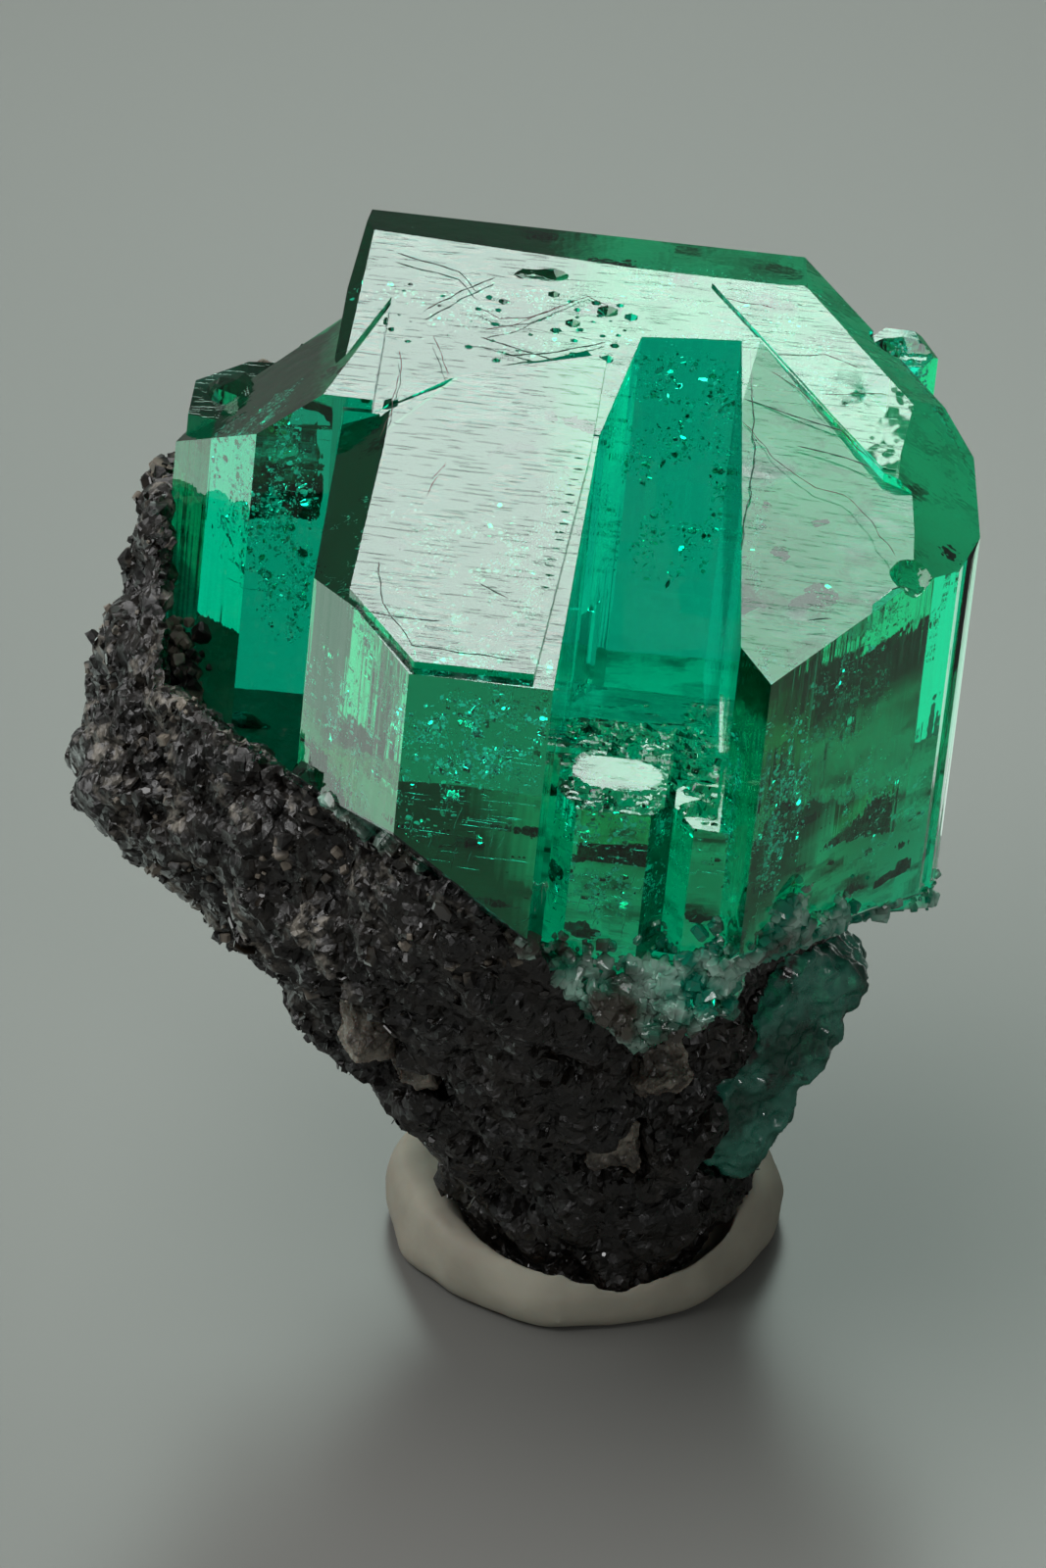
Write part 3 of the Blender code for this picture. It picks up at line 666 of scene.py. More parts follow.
# %% [markdown]
# ## The garden inside
#
# Emeralds are known by their inclusions: healed cracks that hang in the crystal like veils, and open ones that
# glint. A chip is modelled once, flat and six-sided, with a bevelled rim. Veils are then laid out as curved sheets,
# and copies of the chip are strewn along them, dense in some places and rare in others.

# %% One chip
def new_chip(name, thickness):
    pick(table)
    bpy.ops.mesh.primitive_cylinder_add(vertices=6, radius=1.0, depth=thickness)
    chip = bpy.context.object
    chip.name = name
    select_faces(chip, lambda face: face.normal.z > 0.9)
    bpy.ops.mesh.inset(thickness=0.22, depth=thickness * 0.6)
    bpy.ops.object.mode_set(mode="OBJECT")
    return chip


def turn_to(normal, spin, stretch=(1.0, 1.0, 1.0), size=1.0):
    """The matrix that lays a chip flat across the normal, spun about it, stretched and scaled."""
    frame_of = Vector(normal).to_track_quat("Z", "Y").to_matrix().to_4x4()
    return frame_of @ Matrix.Rotation(spin, 4, "Z") @ Matrix.Diagonal((*[size * s for s in stretch], 1.0))


def inside_crystal(point, margin):
    place, normal, _, distance = inside_tree.find_nearest(point)
    return distance > margin and (point - place).dot(normal) < 0.0


veil_chip = new_chip("veil_chip", 0.08)
print("chip:", len(veil_chip.data.polygons), "faces")

# %% [markdown]
# A veil is a plane through a point, tilted, and then waved by noise. Chips sit on it where a second noise is high,
# so a veil breaks up into clouds, as healed cracks do. The fine chips are milky and the larger, tumbled ones shine
# like tinsel. The fine ones are split into a front and a back piece, because one mesh would be too heavy.

# %% The veils
VEILS = [
    # middle in the crystal frame (mm), direction it faces, half size (mm), fine chips, bright shards
    ((-4.6, -9.0, -5.5), (0.2, -1.0, 0.5), (2.6, 2.6), 1500, 60),
    ((-1.6, -12.0, -2.8), (0.1, -1.0, 0.8), (2.6, 1.8), 1800, 160),
    ((-1.6, -6.0, -4.0), (0.9, -0.3, 0.5), (4.0, 2.2), 1200, 40),
    ((-3.5, -3.0, -7.0), (0.3, -0.7, 0.8), (3.0, 3.5), 1200, 40),
    ((2.6, 6.4, -3.5), (0.1, -1.0, 0.3), (2.4, 3.4), 1500, 260),
    ((2.4, 9.4, -6.5), (-0.3, -1.0, 0.1), (2.6, 3.4), 1500, 160),
    ((2.6, -6.0, -9.0), (0.2, -0.9, 0.3), (2.4, 2.6), 1800, 90),
    ((2.2, -9.4, -8.5), (0.1, -1.0, 0.2), (1.6, 2.4), 1200, 80),
    ((6.3, -9.0, -6.0), (0.5, -0.8, 0.2), (1.3, 3.4), 1300, 120),
    ((8.5, -5.5, -8.0), (0.8, -0.5, 0.2), (2.4, 2.0), 500, 20),
    ((8.5, -1.5, -10.5), (-0.2, -0.5, 0.9), (3.0, 2.0), 900, 30),
    ((-9.6, 3.6, -4.5), (-0.3, -0.9, 0.3), (1.8, 3.2), 1800, 120),
    ((-8.6, 2.4, -6.5), (0.2, -1.0, 0.3), (1.2, 3.0), 1500, 110),
    ((-3.0, 9.0, -3.2), (0.0, -0.3, 1.0), (4.5, 2.0), 1400, 50),
    ((6.0, 8.0, -3.0), (-0.4, -0.5, 0.8), (3.4, 2.4), 1200, 60),
    ((1.5, 11.6, -3.5), (0.1, -0.9, 0.5), (5.5, 1.4), 1500, 60),
    ((5.3, 0.0, -5.0), (-1.0, -0.1, 0.1), (5.0, 3.0), 1500, 90),
    ((9.2, 8.9, -3.0), (0.1, -1.0, 0.4), (0.9, 2.4), 2600, 60),
    ((-0.8, -4.0, -4.5), (1.0, -0.1, 0.1), (5.5, 3.2), 1500, 90),
]
FINE, BRIGHT = 0, 1
TRIES_PER_CHIP = (2, 7)


def veil_places(seed, kind, low, rate, biggest, tumble):
    """Places for the fine or the bright chips; low and biggest limit their radius (mm)."""
    dice = random.Random(seed)
    places = []
    for number, (middle, facing, half, *counts) in enumerate(VEILS):
        turned = turn_to(facing, 0.0).to_3x3()
        for _ in range(counts[kind] * TRIES_PER_CHIP[kind]):
            u, v = dice.uniform(-1, 1), dice.uniform(-1, 1)
            wave = 0.5 * noise.noise(Vector((u * 1.7, v * 1.7, number * 9.1)))
            cloud = noise.fractal(Vector((u * 3.4, v * 2.2, number * 5.3)), 0.8, 2.2, 4)
            if cloud < dice.uniform(-0.15, 0.35) or u * u + v * v > dice.uniform(0.4, 1.0):
                continue
            offset = turned @ Vector((u * half[0], v * half[1], wave + dice.gauss(0, 0.07)))
            point = at(*(Vector(middle) + offset))
            if not inside_crystal(point, 0.16 * MM):
                continue
            size = min(biggest, low + dice.expovariate(rate)) * MM
            tilt = Vector([dice.gauss(0, tumble) for _ in range(3)])
            normal = crystal_axes @ (Vector(facing).normalized() + tilt)
            shape = turn_to(normal, dice.uniform(0, math.tau), (1.0, dice.uniform(0.25, 1.0), 1.0), size)
            places.append(Matrix.Translation(point) @ shape)
    return places


specks = sorted(veil_places(11, FINE, 0.012, 45.0, 0.1, 0.4), key=lambda place: place.translation.y)
half_way = len(specks) // 2
veils_front = strew("inner_veils_front", veil_chip, specks[:half_way])
veils_back = strew("inner_veils_back", veil_chip, specks[half_way:])
shards = strew("inner_shards", veil_chip, veil_places(12, BRIGHT, 0.02, 22.0, 0.2, 0.8))
veil_finish = Wiring("healed_crack")
veil_finish.set(Base_Color=(0.95, 1.0, 0.97, 1.0), Roughness=0.3, Specular_IOR_Level=0.9)
shard_finish = Wiring("open_crack")
shard_finish.set(Base_Color=(0.85, 1.0, 0.95, 1.0), Metallic=1.0, Roughness=0.12)
for piece, finish in ((veils_front, veil_finish), (veils_back, veil_finish), (shards, shard_finish)):
    piece.data.materials.append(finish.material)
    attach(piece, "root")
    print(piece.name, count_triangles(piece), "triangles")

# %% [markdown]
# ## Hairline cracks
#
# Cracks cross the basal faces as hairlines: some brown with iron, some dark green where they run down into the
# crystal. Each is a poly curve through a few points, wandering a little between them, with a round bevel a few
# hundredths of a millimetre thick. It is made a mesh and lies half sunk in the face.

# %% Drawing a hairline
def wobble(place):
    """One noise for each direction. Blender's noise_vector would do, but the clock seeds it."""
    return Vector([noise.noise(place + Vector((0.0, 31.7 * k, 0.0))) for k in range(3)])


def wander(points, seed, spread=0.1, step=0.2):
    path = []
    for (a0, b0, c0), (a1, b1, c1) in zip(points, points[1:]):
        start, end = Vector((a0, b0, c0)), Vector((a1, b1, c1))
        count = max(2, round((end - start).length / step))
        for index in range(count):
            point = start.lerp(end, index / count)
            shift = wobble(point * 1.3 + Vector((seed, 0, 0))) * spread
            path.append(point + Vector((shift.x, shift.y, shift.z if abs(c1 - c0) > 0.5 else 0.0)))
    return path + [Vector(points[-1])]


def hairlines(name, lines, thickness, seed):
    curve = bpy.data.curves.new(name, "CURVE")
    curve.dimensions = "3D"
    curve.bevel_depth = thickness * MM
    curve.bevel_resolution = 1
    curve.use_fill_caps = True
    for number, points in enumerate(lines):
        path = wander(points, seed + 3.7 * number)
        spline = curve.splines.new("POLY")
        spline.points.add(len(path) - 1)
        for index, (target, point) in enumerate(zip(spline.points, path)):
            swelling = 0.45 + 0.55 * abs(math.sin(index * 0.9 + number))
            target.co = (*at(*point), 1.0)
            target.radius = swelling if 0 < index < len(path) - 1 else 0.15
    thing = bpy.data.objects.new(name, curve)
    bpy.context.scene.collection.objects.link(thing)
    pick(thing)
    bpy.ops.object.convert(target="MESH")
    thing = bpy.context.object
    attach(thing, "root")
    return thing


def flat(points, height):
    return [(a, b, height) for a, b in points]


print("hairline helpers ready")

# %% [markdown]
# The cracks that show are drawn as points on the back mass, on the left block's top and on the right
# block. BACK, TOP, RIGHT and PLATE are the heights of those faces.

# %% Cracks on the faces
BACK, TOP, RIGHT, PLATE = -0.05, 0.0, -0.06, 0.045
BROWN_LINES = [
    flat([(-3.5, 5.85), (-2.55, 6.48), (-1.3, 7.78)], BACK),
    flat([(-3.82, 7.2), (-3.14, 6.64), (-2.28, 6.84), (-1.64, 7.52), (-0.57, 8.61), (0.03, 8.21)], BACK),
    flat([(-5.0, 5.2), (-4.57, 3.65), (-4.39, 2.87)], BACK),
    flat([(-5.95, 4.04), (-5.82, 2.25), (-5.88, 0.84), (-6.1, -1.1)], BACK),
    flat([(-4.35, -3.21), (-4.02, -2.22)], TOP), flat([(-4.47, -4.2), (-4.16, -2.94)], TOP),
    flat([(4.6, 2.24), (6.04, -0.19), (6.95, -1.07), (7.81, -1.28), (8.74, -2.6), (9.6, -4.52)], RIGHT),
    flat([(4.75, 5.85), (6.1, 4.6), (7.1, 3.0)], RIGHT),
    flat([(3.6, 9.3), (5.2, 9.0)], PLATE), flat([(5.4, 6.2), (6.9, 6.6), (8.0, 6.0)], PLATE),
    flat([(6.9, 4.2), (8.9, 4.6)], PLATE),
]
GREEN_LINES = [
    flat([(-5.4, 6.66), (-4.13, 8.39), (-3.46, 9.09)], BACK), flat([(-3.61, 5.4), (-1.54, 4.63), (0.3, 3.4)], BACK),
    flat([(-2.81, 4.46), (-1.56, 4.87), (0.19, 5.98)], BACK), flat([(-6.6, 9.9), (-4.6, 9.2), (-3.9, 8.1)], BACK),
    flat([(-6.07, -10.9), (-4.7, -11.15), (-3.41, -11.06)], TOP), flat([(-2.45, -8.77), (-1.56, -9.45)], TOP),
    flat([(-5.5, -8.2), (-5.2, -10.4), (-4.1, -12.6), (-1.0, -12.75)], TOP),
    flat([(4.6, 3.54), (6.16, 2.9), (7.62, 2.41), (8.5, 0.9)], RIGHT),
    flat([(6.26, 1.24), (7.1, 1.02), (7.85, 0.79), (8.6, 0.41)], RIGHT),
    flat([(7.2, -8.6), (7.9, -8.3)], RIGHT - 0.05),
    flat([(5.0, -5.0), (5.1, 0.5), (4.75, 4.6), (4.6, 6.6)], RIGHT),
]
brown_cracks = hairlines("brown_cracks", BROWN_LINES, 0.014, 2.0)
green_cracks = hairlines("green_cracks", GREEN_LINES, 0.022, 5.0)
for piece, name, colour in (
    (brown_cracks, "iron_stain", (0.1, 0.045, 0.05)), (green_cracks, "crack_green", (0.005, 0.07, 0.045)),
):
    stain = Wiring(name)
    darker = tuple(0.4 * c for c in colour)
    stain.set(Base_Color=stain.blend(stain.noise(stain.place, 3000.0), colour, darker), Roughness=0.4)
    piece.data.materials.append(stain.material)
print("cracks:", count_triangles(brown_cracks) + count_triangles(green_cracks), "triangles")

# %% [markdown]
# Inside the front of the crystal, thin cracks lie level, one above the other, and glint like wires. They are
# scattered in four boxes, a quarter of them upright, and kept only where both ends lie inside the crystal. A fan
# of nine more spreads from one spot in the short prism.

# %% Lines inside
LINE_BOXES = [  # two corners (mm), how many tries, longest line (mm)
    ((-4.0, -13.5, -7.2), (-0.6, -13.2, -2.6), 60, 1.6), ((0.6, -9.9, -12.0), (3.4, -9.4, -7.2), 60, 1.1),
    ((4.2, -9.5, -11.0), (5.4, -8.8, -7.2), 16, 0.7), ((-10.8, 2.6, -8.0), (-8.0, 3.0, -2.0), 30, 0.8),
]
LINE_MARGIN = 0.1 * MM
FAN_START = (0.35, -9.9, -9.4)
dice = random.Random(77)
inner_paths = []
for low, high, count, longest in LINE_BOXES:
    for _ in range(count):
        point = Vector([dice.uniform(l, h) for l, h in zip(low, high)])
        reach = Vector((min(longest, dice.expovariate(1.6) + 0.15), 0.0, 0.0))
        if dice.random() < 0.25:
            reach = Vector((0.1, 0.0, 0.6 * reach.x))
        if inside_crystal(at(*point), LINE_MARGIN) and inside_crystal(at(*(point + reach)), LINE_MARGIN):
            inner_paths.append([tuple(point), tuple(point + reach)])
for fan in range(9):
    turn = math.radians(200.0 + 17.0 * fan)
    a, b, c = FAN_START
    end = (a + 1.3 * math.cos(turn) * 0.6, b, c + 1.6 * math.sin(turn) * dice.uniform(0.5, 1.0))
    inner_paths.append([FAN_START, end])
inner_lines = hairlines("inner_lines", inner_paths, 0.014, 9.0)
inner_lines.data.materials.append(shard_finish.material)
print("inner lines:", len(inner_paths))

# %% [markdown]
# ## The schist
#
# The matrix is mica schist: layer on layer of black mica, split along its layers into ledges and broken across
# them. The measured wedge gives the form. Its sockets first close up on the crystals, because a grown contact has
# no gap and looks black through the crystal. The corners to move are found by their place: they lie on the plane
# of the crystal's left underside, one small drop below it.

# %% Close the rock's sockets on the crystals
rock = merged_copy("matrix_rock", "schist_rock")
SOCKET_DROP, CLOSE_UP, NEAR = 0.44, 0.6, 0.03  # mm
moved = 0
for vertex in rock.data.vertices:
    a, b, c = (TO_CRYSTAL @ vertex.co) / MM
    if abs(c - (UNDERSIDE[0] - SOCKET_DROP + UNDERSIDE[1] * a + UNDERSIDE[2] * b)) < NEAR:
        vertex.co = at(a, b, c + CLOSE_UP)
        moved += 1
print("socket corners moved up:", moved)

# %% [markdown]
# A voxel remesh gives an even skin to work on, and displacement adds lumps, ledges, cleavage and grit, each finer
# than the last. The grains and the second emerald will want the same treatment, so it becomes a helper.

# %% Give the rock its skin
def remesh(thing, voxel):
    apply_modifier(thing, "REMESH", mode="VOXEL", voxel_size=voxel * MM)


def roughen(thing, mid_level, *layers):
    """Push the skin in and out by one texture after another: name, kind, size (mm), strength (mm), settings."""
    for name, kind, size, strength, *settings in layers:
        texture = bpy.data.textures.new(name, kind)
        texture.noise_scale = size * MM
        for key, value in (settings[0] if settings else {}).items():
            setattr(texture, key, value)
        apply_modifier(
            thing, "DISPLACE", texture=texture, texture_coords="LOCAL", strength=strength * MM, mid_level=mid_level,
        )


remesh(rock, 0.16)
roughen(
    rock, 0.6,
    ("lumps", "CLOUDS", 2.2, 0.9, {"noise_depth": 2}),
    ("ledges", "VORONOI", 1.3, 0.5, {"distance_metric": "MANHATTAN"}),
    ("cleavage", "MUSGRAVE", 0.6, 0.14, {"musgrave_type": "RIDGED_MULTIFRACTAL"}),
    ("grit", "VORONOI", 0.3, 0.06),
)
print("rock skin:", len(rock.data.vertices), "corners")

# %% [markdown]
# Ridges run down the rock along its layers. They come from noise that is drawn out along that direction. All
# places and normals are gathered first and written back at once: moving the corners one by one would make Blender
# work out every normal again after each step.

# %% Ridges down the rock
DOWN_ROCK = Vector((0.63, 0.0, -0.77))
spots = np.zeros(len(rock.data.vertices) * 3)
rock.data.vertices.foreach_get("co", spots)
ways = np.zeros(len(spots))
rock.data.vertices.foreach_get("normal", ways)
spots, ways = spots.reshape(-1, 3), ways.reshape(-1, 3)
rises = np.zeros(len(spots))
for index, spot in enumerate(spots):
    point = Vector(spot)
    stretched = point - DOWN_ROCK * point.dot(DOWN_ROCK) * 0.75
    rises[index] = 0.25 - 0.8 * abs(noise.noise(stretched * 420.0)) + 0.1 * noise.noise(stretched * 1400.0)
rock.data.vertices.foreach_set("co", (spots + ways * rises[:, None] * MM).ravel())
rock.data.update()
rock.data.shade_flat()
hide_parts("matrix_rock")
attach(rock, "root")
print("rock:", count_triangles(rock), "triangles")

# %% [markdown]
# Black mica is dark brown where thin and glints where a cleavage face happens to catch the lamp. Between the mica
# sit crumbs of grey quartz and feldspar. Towards the upper left rim the rock turns paler: partly more crumbs,
# partly painted light, where the lamp falls on that rim from the upper left. The finish mixes those by noise, and a
# field of tiny tilted facets in the bump gives the glitter.

# %% Schist finish
RIM_WAY = (-0.72, 0.1, 0.69)
RIM_GRAINS_AND_LIGHT_STARTS, RIM_GRAINS_AND_LIGHT_ENDS = 0.0125, 0.0165
schist = Wiring("mica_schist_black")
turned = schist.add("ShaderNodeMapping", vector_type="TEXTURE")
schist.feed(turned.inputs["Vector"], schist.place)
turned.inputs["Rotation"].default_value = (0.0, math.radians(50.7), 0.0)
turned.inputs["Scale"].default_value = (3.5, 1.0, 1.0)
bands = schist.noise(turned.outputs[0], 620.0, 5.0, 0.6, 0.5)
grains = schist.noise(schist.place, 2600.0, 3.0, 0.6)
pale = schist.maths("MULTIPLY", schist.span(bands, 0.54, 0.64), schist.span(grains, 0.42, 0.6))
brown = schist.span(schist.noise(schist.place, 900.0, 4.0, 0.6), 0.4, 0.7)
dark = schist.blend(brown, (0.002, 0.0017, 0.0013), (0.01, 0.007, 0.0045))
# Paler towards the upper left rim: more pale grains there, and painted light where the lamp falls from the upper
# left.
rim = schist.span(schist.vector("DOT_PRODUCT", schist.place, RIM_WAY), RIM_GRAINS_AND_LIGHT_STARTS, RIM_GRAINS_AND_LIGHT_ENDS, 0.12, 1.0)
pale = schist.maths("MULTIPLY", pale, rim)
schist.set(
    Base_Color=schist.blend(pale, dark, (0.2, 0.18, 0.15)),
    Roughness=schist.span(grains, 0.35, 0.65, 0.22, 0.6),
    Specular_IOR_Level=0.6,
    Normal=schist.bump(
        schist.noise(schist.place, 4200.0, 4.0, 0.65), 0.00005, 0.7,
        below=schist.bump(schist.facets(3600.0, 1.4), 1.0, 0.8),
    ),
)
rock.data.materials.append(schist.material)
print("schist finish ready")

# %% [markdown]
# ## Mica flakes and crumbs on the rock
#
# The bump gives glitter, but loose flakes and crumbs break the outline. To strew them, we pick random points on
# the rock's skin, weighted by area.

# %% Points on a skin
def skin_points(thing, count, seed, accept):
    """Random places on the skin, with their normals, for which accept(point, normal) is true."""
    mesh = thing.data
    areas = np.zeros(len(mesh.polygons))
    mesh.polygons.foreach_get("area", areas)
    centres = np.zeros(len(mesh.polygons) * 3)
    mesh.polygons.foreach_get("center", centres)
    normals = np.zeros(len(mesh.polygons) * 3)
    mesh.polygons.foreach_get("normal", normals)
    dice = np.random.default_rng(seed)
    chosen = dice.choice(len(areas), count, p=areas / areas.sum())
    found = []
    for index in chosen:
        point = Vector(centres[3 * index:3 * index + 3])
        normal = Vector(normals[3 * index:3 * index + 3])
        if accept(point, normal):
            found.append((point, normal))
    return found


print("skin points ready")

# %% [markdown]
# Mica flakes lie roughly in the schist's layers, in patches, and only where the rock is open: not under the crystal
# and not down in the putty.

# %% Mica flakes
def on_open_rock(point, normal):
    off_crystal = inside_tree.find_nearest(point)[3]
    patches = noise.noise(point * 420.0) + 0.4 * noise.noise(point * 1500.0)
    return off_crystal > 0.35 * MM and point.z > 1.2 * MM and patches > -0.02


LAYER = Vector((-0.5, 0.42, 0.75)).normalized()


def flake_places(points, seed, low, rate, biggest, layer_pull):
    """Flakes on those points, turned more or less into the schist's layers; low and biggest are in mm."""
    dice = random.Random(seed)
    places = []
    for point, normal in points:
        size = min(biggest, low + dice.expovariate(rate)) * MM
        way = normal.lerp(LAYER, layer_pull * dice.random()) + Vector([dice.gauss(0, 0.3) for _ in range(3)])
        shape = turn_to(way, dice.uniform(0, math.tau), (1.0, dice.uniform(0.5, 1.0), 1.0), size)
        places.append(Matrix.Translation(point + normal * size * 0.15) @ shape)
    return places


mica_chip = new_chip("mica_chip", 0.12)
mica_points = skin_points(rock, 4500, 3, on_open_rock)
mica = strew("mica_flakes", mica_chip, flake_places(mica_points, 4, 0.04, 12.0, 0.4, 0.9))
mica_finish = Wiring("black_mica")
mica_tone = mica_finish.span(mica_finish.noise(mica_finish.place, 1500.0), 0.4, 0.62)
mica_finish.set(
    Base_Color=mica_finish.blend(mica_tone, (0.003, 0.0026, 0.002), (0.015, 0.011, 0.007)),
    Roughness=0.22, Specular_IOR_Level=0.8,
)
mica.data.materials.append(mica_finish.material)
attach(mica, "root")
print("mica:", count_triangles(mica), "triangles")

# %% [markdown]
# A crumb is a cube with bevelled edges and its corners shaken a little. Crumbs gather on the upper left rim, and a
# heap of them fills the gap between the rim and the left prism.

# %% Crumbs
def on_rim(point, normal):
    measure = point.dot(Vector(RIM_WAY)) / MM + 3.0 * noise.noise(point * 300.0)
    return on_open_rock(point, normal) and measure > 11.5


def new_crumb(name, seed):
    pick(table)
    bpy.ops.mesh.primitive_cube_add(size=1.6)
    crumb = bpy.context.object
    crumb.name = name
    bpy.ops.object.mode_set(mode="EDIT")
    bpy.ops.mesh.select_all(action="SELECT")
    bpy.ops.mesh.bevel(offset=0.28, segments=1, affect="EDGES")
    bpy.ops.transform.vertex_random(offset=0.25, seed=seed)
    bpy.ops.object.mode_set(mode="OBJECT")
    return crumb


crumb_pattern = new_crumb("crumb", 5)
HEAP_MIDDLE, HEAP_WAY, HEAP_COUNT = Vector((-12.2, 4.2, 17.4)), Vector((-0.5, -0.5, 0.7)), 260
dice = random.Random(15)
heap = []
for _ in range(HEAP_COUNT):
    spot = HEAP_MIDDLE + Vector((dice.gauss(0, 0.45), dice.gauss(0, 0.6), dice.gauss(0, 0.8)))
    if not inside_crystal(spot * MM, -0.1 * MM):
        heap.append((spot * MM, HEAP_WAY))
rim_places = flake_places(skin_points(rock, 5000, 8, on_rim), 9, 0.04, 12.0, 0.34, 0.3)
heap_places = flake_places(heap, 10, 0.1, 8.0, 0.4, 0.3)
crumbs = strew("schist_crumbs", crumb_pattern, rim_places + heap_places)
grit = Wiring("schist_grit")
# The crumbs have their own random tone, and they turn paler towards the upper left rim: painted light, where the
# lamp falls from the upper left.
grit_rim_and_painted_light = grit.span(grit.vector("DOT_PRODUCT", grit.place, RIM_WAY), RIM_GRAINS_AND_LIGHT_STARTS, RIM_GRAINS_AND_LIGHT_ENDS, -0.1, 0.02)
grit_tone = grit.span(grit.maths("ADD", grit.noise(grit.place, 700.0, 3.0), grit_rim_and_painted_light), 0.5, 0.6)
grit.set(
    Base_Color=grit.blend(grit_tone, (0.006, 0.005, 0.004), (0.17, 0.145, 0.115)),
    Roughness=0.5,
    Normal=grit.bump(grit.noise(grit.place, 5200.0), 0.00004, 0.7),
)
crumbs.data.materials.append(grit.material)
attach(crumbs, "root")
print("crumbs:", count_triangles(crumbs), "triangles")

# %% [markdown]
# ## Crushed beryl at the foot of the slot
#
# Where the short prisms and the right block break off against the rock, the crystal is crushed to pale green
# crumbs. They are thrown at the measured surface from a few spots, and land on its nearest point.

# %% Crushed beryl
CRUST = [
    # spot in the crystal frame (mm), reach (mm), count
    ((1.2, -11.3, -11.6), 0.9, 150), ((2.9, -11.2, -12.6), 1.4, 420), ((4.5, -11.0, -12.4), 1.4, 420),
    ((6.1, -10.6, -11.2), 1.2, 200), ((7.6, -9.6, -10.6), 1.3, 240), ((9.0, -7.2, -11.8), 1.2, 130),
    ((-6.2, -10.0, -8.6), 1.0, 110), ((-4.4, -11.6, -9.0), 0.9, 90), ((-2.2, -12.6, -9.6), 0.8, 90),
    ((-0.4, -12.6, -10.6), 0.8, 90), ((10.6, -4.6, -13.2), 0.7, 30), ((11.8, -1.6, -13.8), 0.7, 20),
]


def thrown_places(spots, seed, low, rate, biggest):
    dice = random.Random(seed)
    places = []
    for middle, reach, count in spots:
        for _ in range(count):
            aim = at(*(Vector(middle) + Vector([dice.gauss(0, reach * 0.5) for _ in range(3)])))
            point, normal, _, distance = inside_tree.find_nearest(aim)
            if distance > reach * 1.2 * MM or point.z < 3.0 * MM:
                continue
            size = min(biggest, low + dice.expovariate(rate)) * MM
            way = normal + Vector([dice.gauss(0, 0.5) for _ in range(3)])
            spin, stretch = dice.uniform(0, math.tau), (1.0, dice.uniform(0.5, 1.0), dice.uniform(0.5, 1.4))
            shape = turn_to(way, spin, stretch, size)
            places.append(Matrix.Translation(point + normal * size * 0.1) @ shape)
    return places


crust = strew("crushed_beryl", crumb_pattern, thrown_places(CRUST, 31, 0.05, 9.0, 0.32))
crushed = Wiring("crushed_beryl")
crust_tone = crushed.span(crushed.noise(crushed.place, 800.0, 3.0), 0.44, 0.6)
crust_green = crushed.blend(crust_tone, (0.01, 0.35, 0.22), (0.6, 0.92, 0.78))
crust_dirt = crushed.span(crushed.noise(crushed.place, 330.0, 3.0), 0.48, 0.6)
crushed.set(
    Base_Color=crushed.blend(crust_dirt, crust_green, (0.1, 0.09, 0.07)),
    Roughness=0.1,
    IOR=BERYL_INDEX,
    Transmission_Weight=0.5,
    Normal=crushed.bump(crushed.noise(crushed.place, 4200.0), 0.00004, 0.6),
)
crust.data.materials.append(crushed.material)
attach(crust, "root")
print("crushed beryl:", count_triangles(crust), "triangles")

# %% [markdown]
# ## Feldspar grains
#
# Five pale grains sit in the rock and beside the crystals. Feldspar breaks into steps, so each grain is a remeshed
# block with a stepped displacement. Its surface is sugary, beige to grey, and a little light passes through it.

# %% Feldspar
feldspar = Wiring("feldspar_grain")
stain = feldspar.noise(feldspar.place, 900.0, 4.0, 0.6)
feldspar.set(
    Base_Color=feldspar.blend(feldspar.span(stain, 0.4, 0.56), (0.26, 0.235, 0.19), (0.05, 0.043, 0.034)),
    Roughness=feldspar.span(feldspar.noise(feldspar.place, 2400.0), 0.35, 0.65, 0.2, 0.6),
    Subsurface_Weight=0.15,
    Subsurface_Scale=0.0006,
    Normal=feldspar.bump(
        feldspar.noise(feldspar.place, 3000.0, 4.0, 0.6), 0.00006, 0.6,
        below=feldspar.bump(feldspar.facets(1500.0, 0.8), 1.0, 0.6),
    ),
)
for node in sorted(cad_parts):
    if not node.startswith("feldspar"):
        continue
    grain = merged_copy(node, node + "_sugary")
    remesh(grain, 0.06)
    roughen(grain, 0.6, ("steps", "VORONOI", 1.0, 0.7), ("sugar", "CLOUDS", 0.3, 0.25))
    grain.data.shade_flat()
    grain.data.materials.append(feldspar.material)
    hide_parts(node)
    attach(grain, "root")
    print(grain.name, count_triangles(grain), "triangles")

# %% [markdown]
# ## The emerald on the flank
#
# Low on the right side lies a second, cloudy emerald. Its faces are worn and etched, so it is remeshed, pitted and
# given a rougher skin and a denser green.

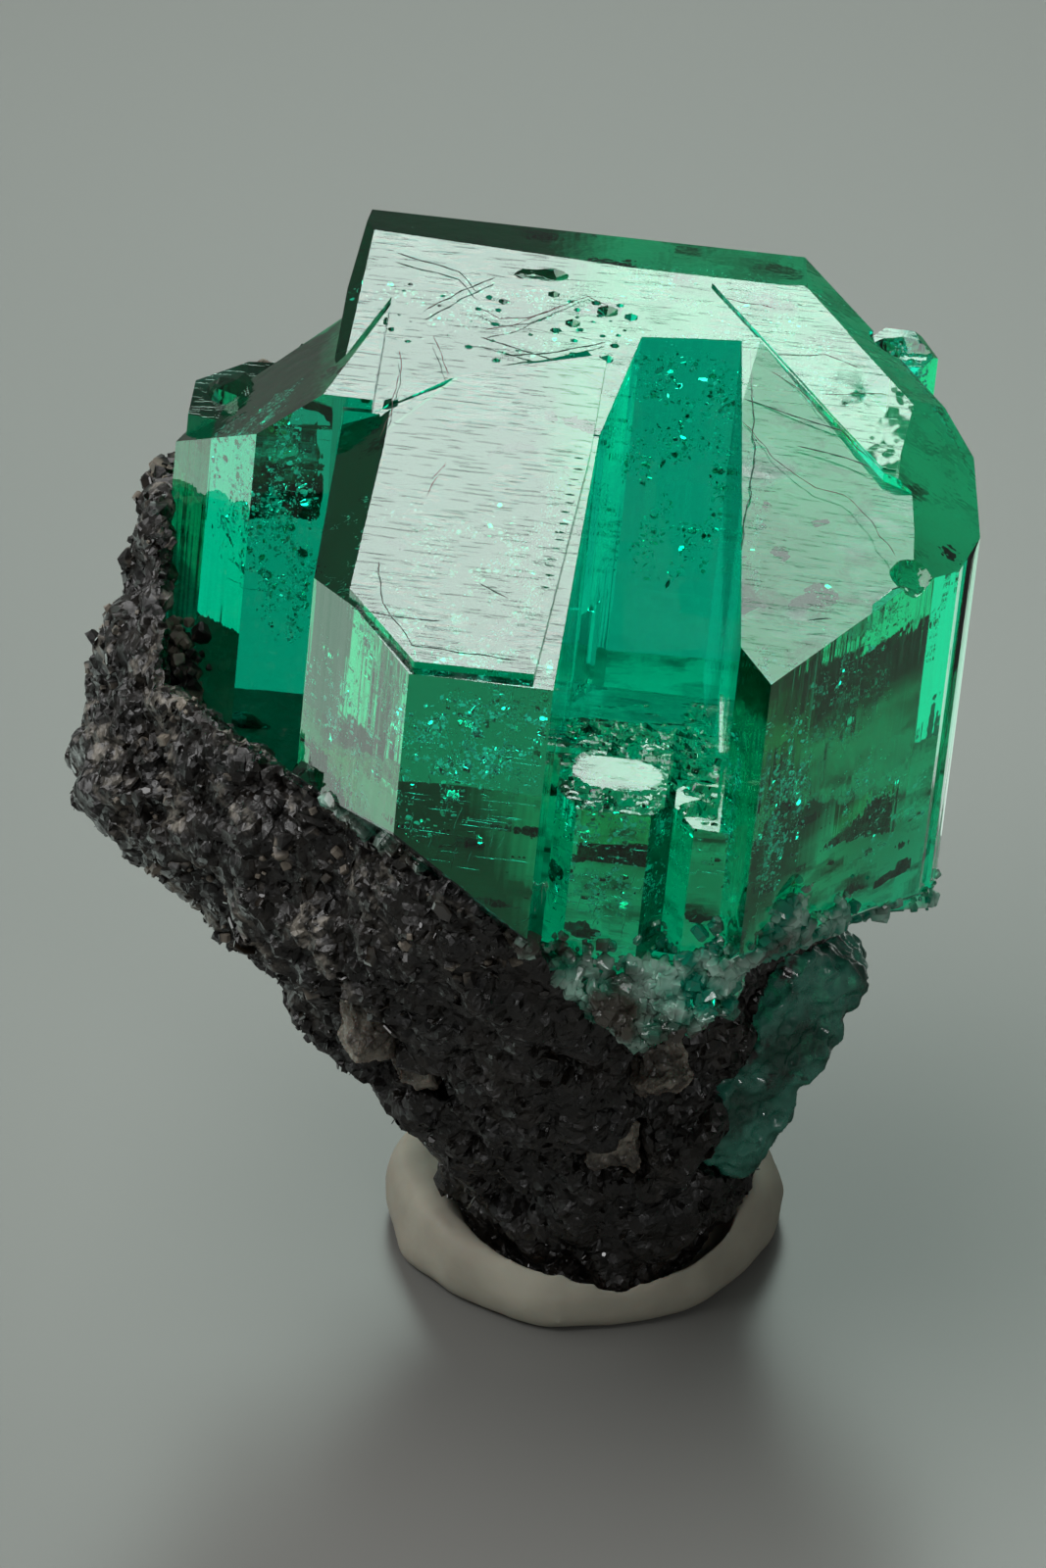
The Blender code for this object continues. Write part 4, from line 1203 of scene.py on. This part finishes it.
# %% The flank emerald
flank = merged_copy("flank_emerald", "flank_emerald_etched")
remesh(flank, 0.09)
roughen(flank, 0.5, ("wear", "CLOUDS", 1.4, 0.7), ("etching", "VORONOI", 0.5, 0.3))
flank.data.shade_smooth()
deep = Wiring("emerald_deep")
deep_tone = deep.span(deep.noise(deep.place, 600.0), 0.4, 0.6)
mica_specks = deep.span(deep.noise(deep.place, 900.0, 5.0, 0.65), 0.58, 0.66)
deep.set(
    Base_Color=deep.blend(
        mica_specks, deep.blend(deep_tone, (0.1, 0.5, 0.36), (0.01, 0.13, 0.085)), (0.012, 0.01, 0.008),
    ),
    Roughness=deep.span(deep.noise(deep.place, 1100.0), 0.35, 0.65, 0.08, 0.4),
    IOR=BERYL_INDEX,
    Transmission_Weight=0.6,
    Normal=deep.bump(deep.noise(deep.place, 1900.0, 4.0, 0.6), 0.00005, 0.5),
)
deep.swallow((0.02, 0.72, 0.5), 420.0)
flank.data.materials.append(deep.material)
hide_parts("flank_emerald")
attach(flank, "root")
print("flank emerald:", count_triangles(flank), "triangles")

# %% [markdown]
# ## The putty foot
#
# Mineral putty is soft, matte and slightly waxy. Fingers leave broad dents and the rock pushes up a lip. The
# measured foot has that form. A remesh gives it an even skin, broad noise adds the dents, thirty rounds of
# smoothing take off every edge, and a fine bump makes the skin dull. Its underside is then set flat on the table.

# %% The putty foot
foot = merged_copy("putty_foot", "putty_foot_pressed")
remesh(foot, 0.14)
roughen(foot, 0.55, ("dents", "CLOUDS", 2.4, 0.35), ("fingers", "CLOUDS", 0.8, 0.1))
apply_modifier(foot, "SMOOTH", factor=0.5, iterations=30)
for vertex in foot.data.vertices:
    vertex.co.z = max(0.0, vertex.co.z)
foot.data.shade_smooth()
putty = Wiring("mineral_putty")
putty_tone = putty.span(putty.noise(putty.place, 350.0), 0.35, 0.7)
putty.set(
    Base_Color=putty.blend(putty_tone, (0.39, 0.375, 0.3), (0.31, 0.29, 0.23)),
    Roughness=0.72,
    Subsurface_Weight=0.2,
    Subsurface_Scale=0.0008,
    Normal=putty.bump(putty.noise(putty.place, 1800.0, 5.0, 0.6), 0.00004, 0.4),
)
foot.data.materials.append(putty.material)
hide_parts("putty_foot")
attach(foot, "root")
print("putty:", count_triangles(foot), "triangles")

# %% [markdown]
# ## Put the patterns away
#
# The chip and crumb patterns have done their work. The dressed specimen has to keep the measured size.

# %% Finish
for pattern in (veil_chip, mica_chip, crumb_pattern):
    bpy.data.objects.remove(pattern)
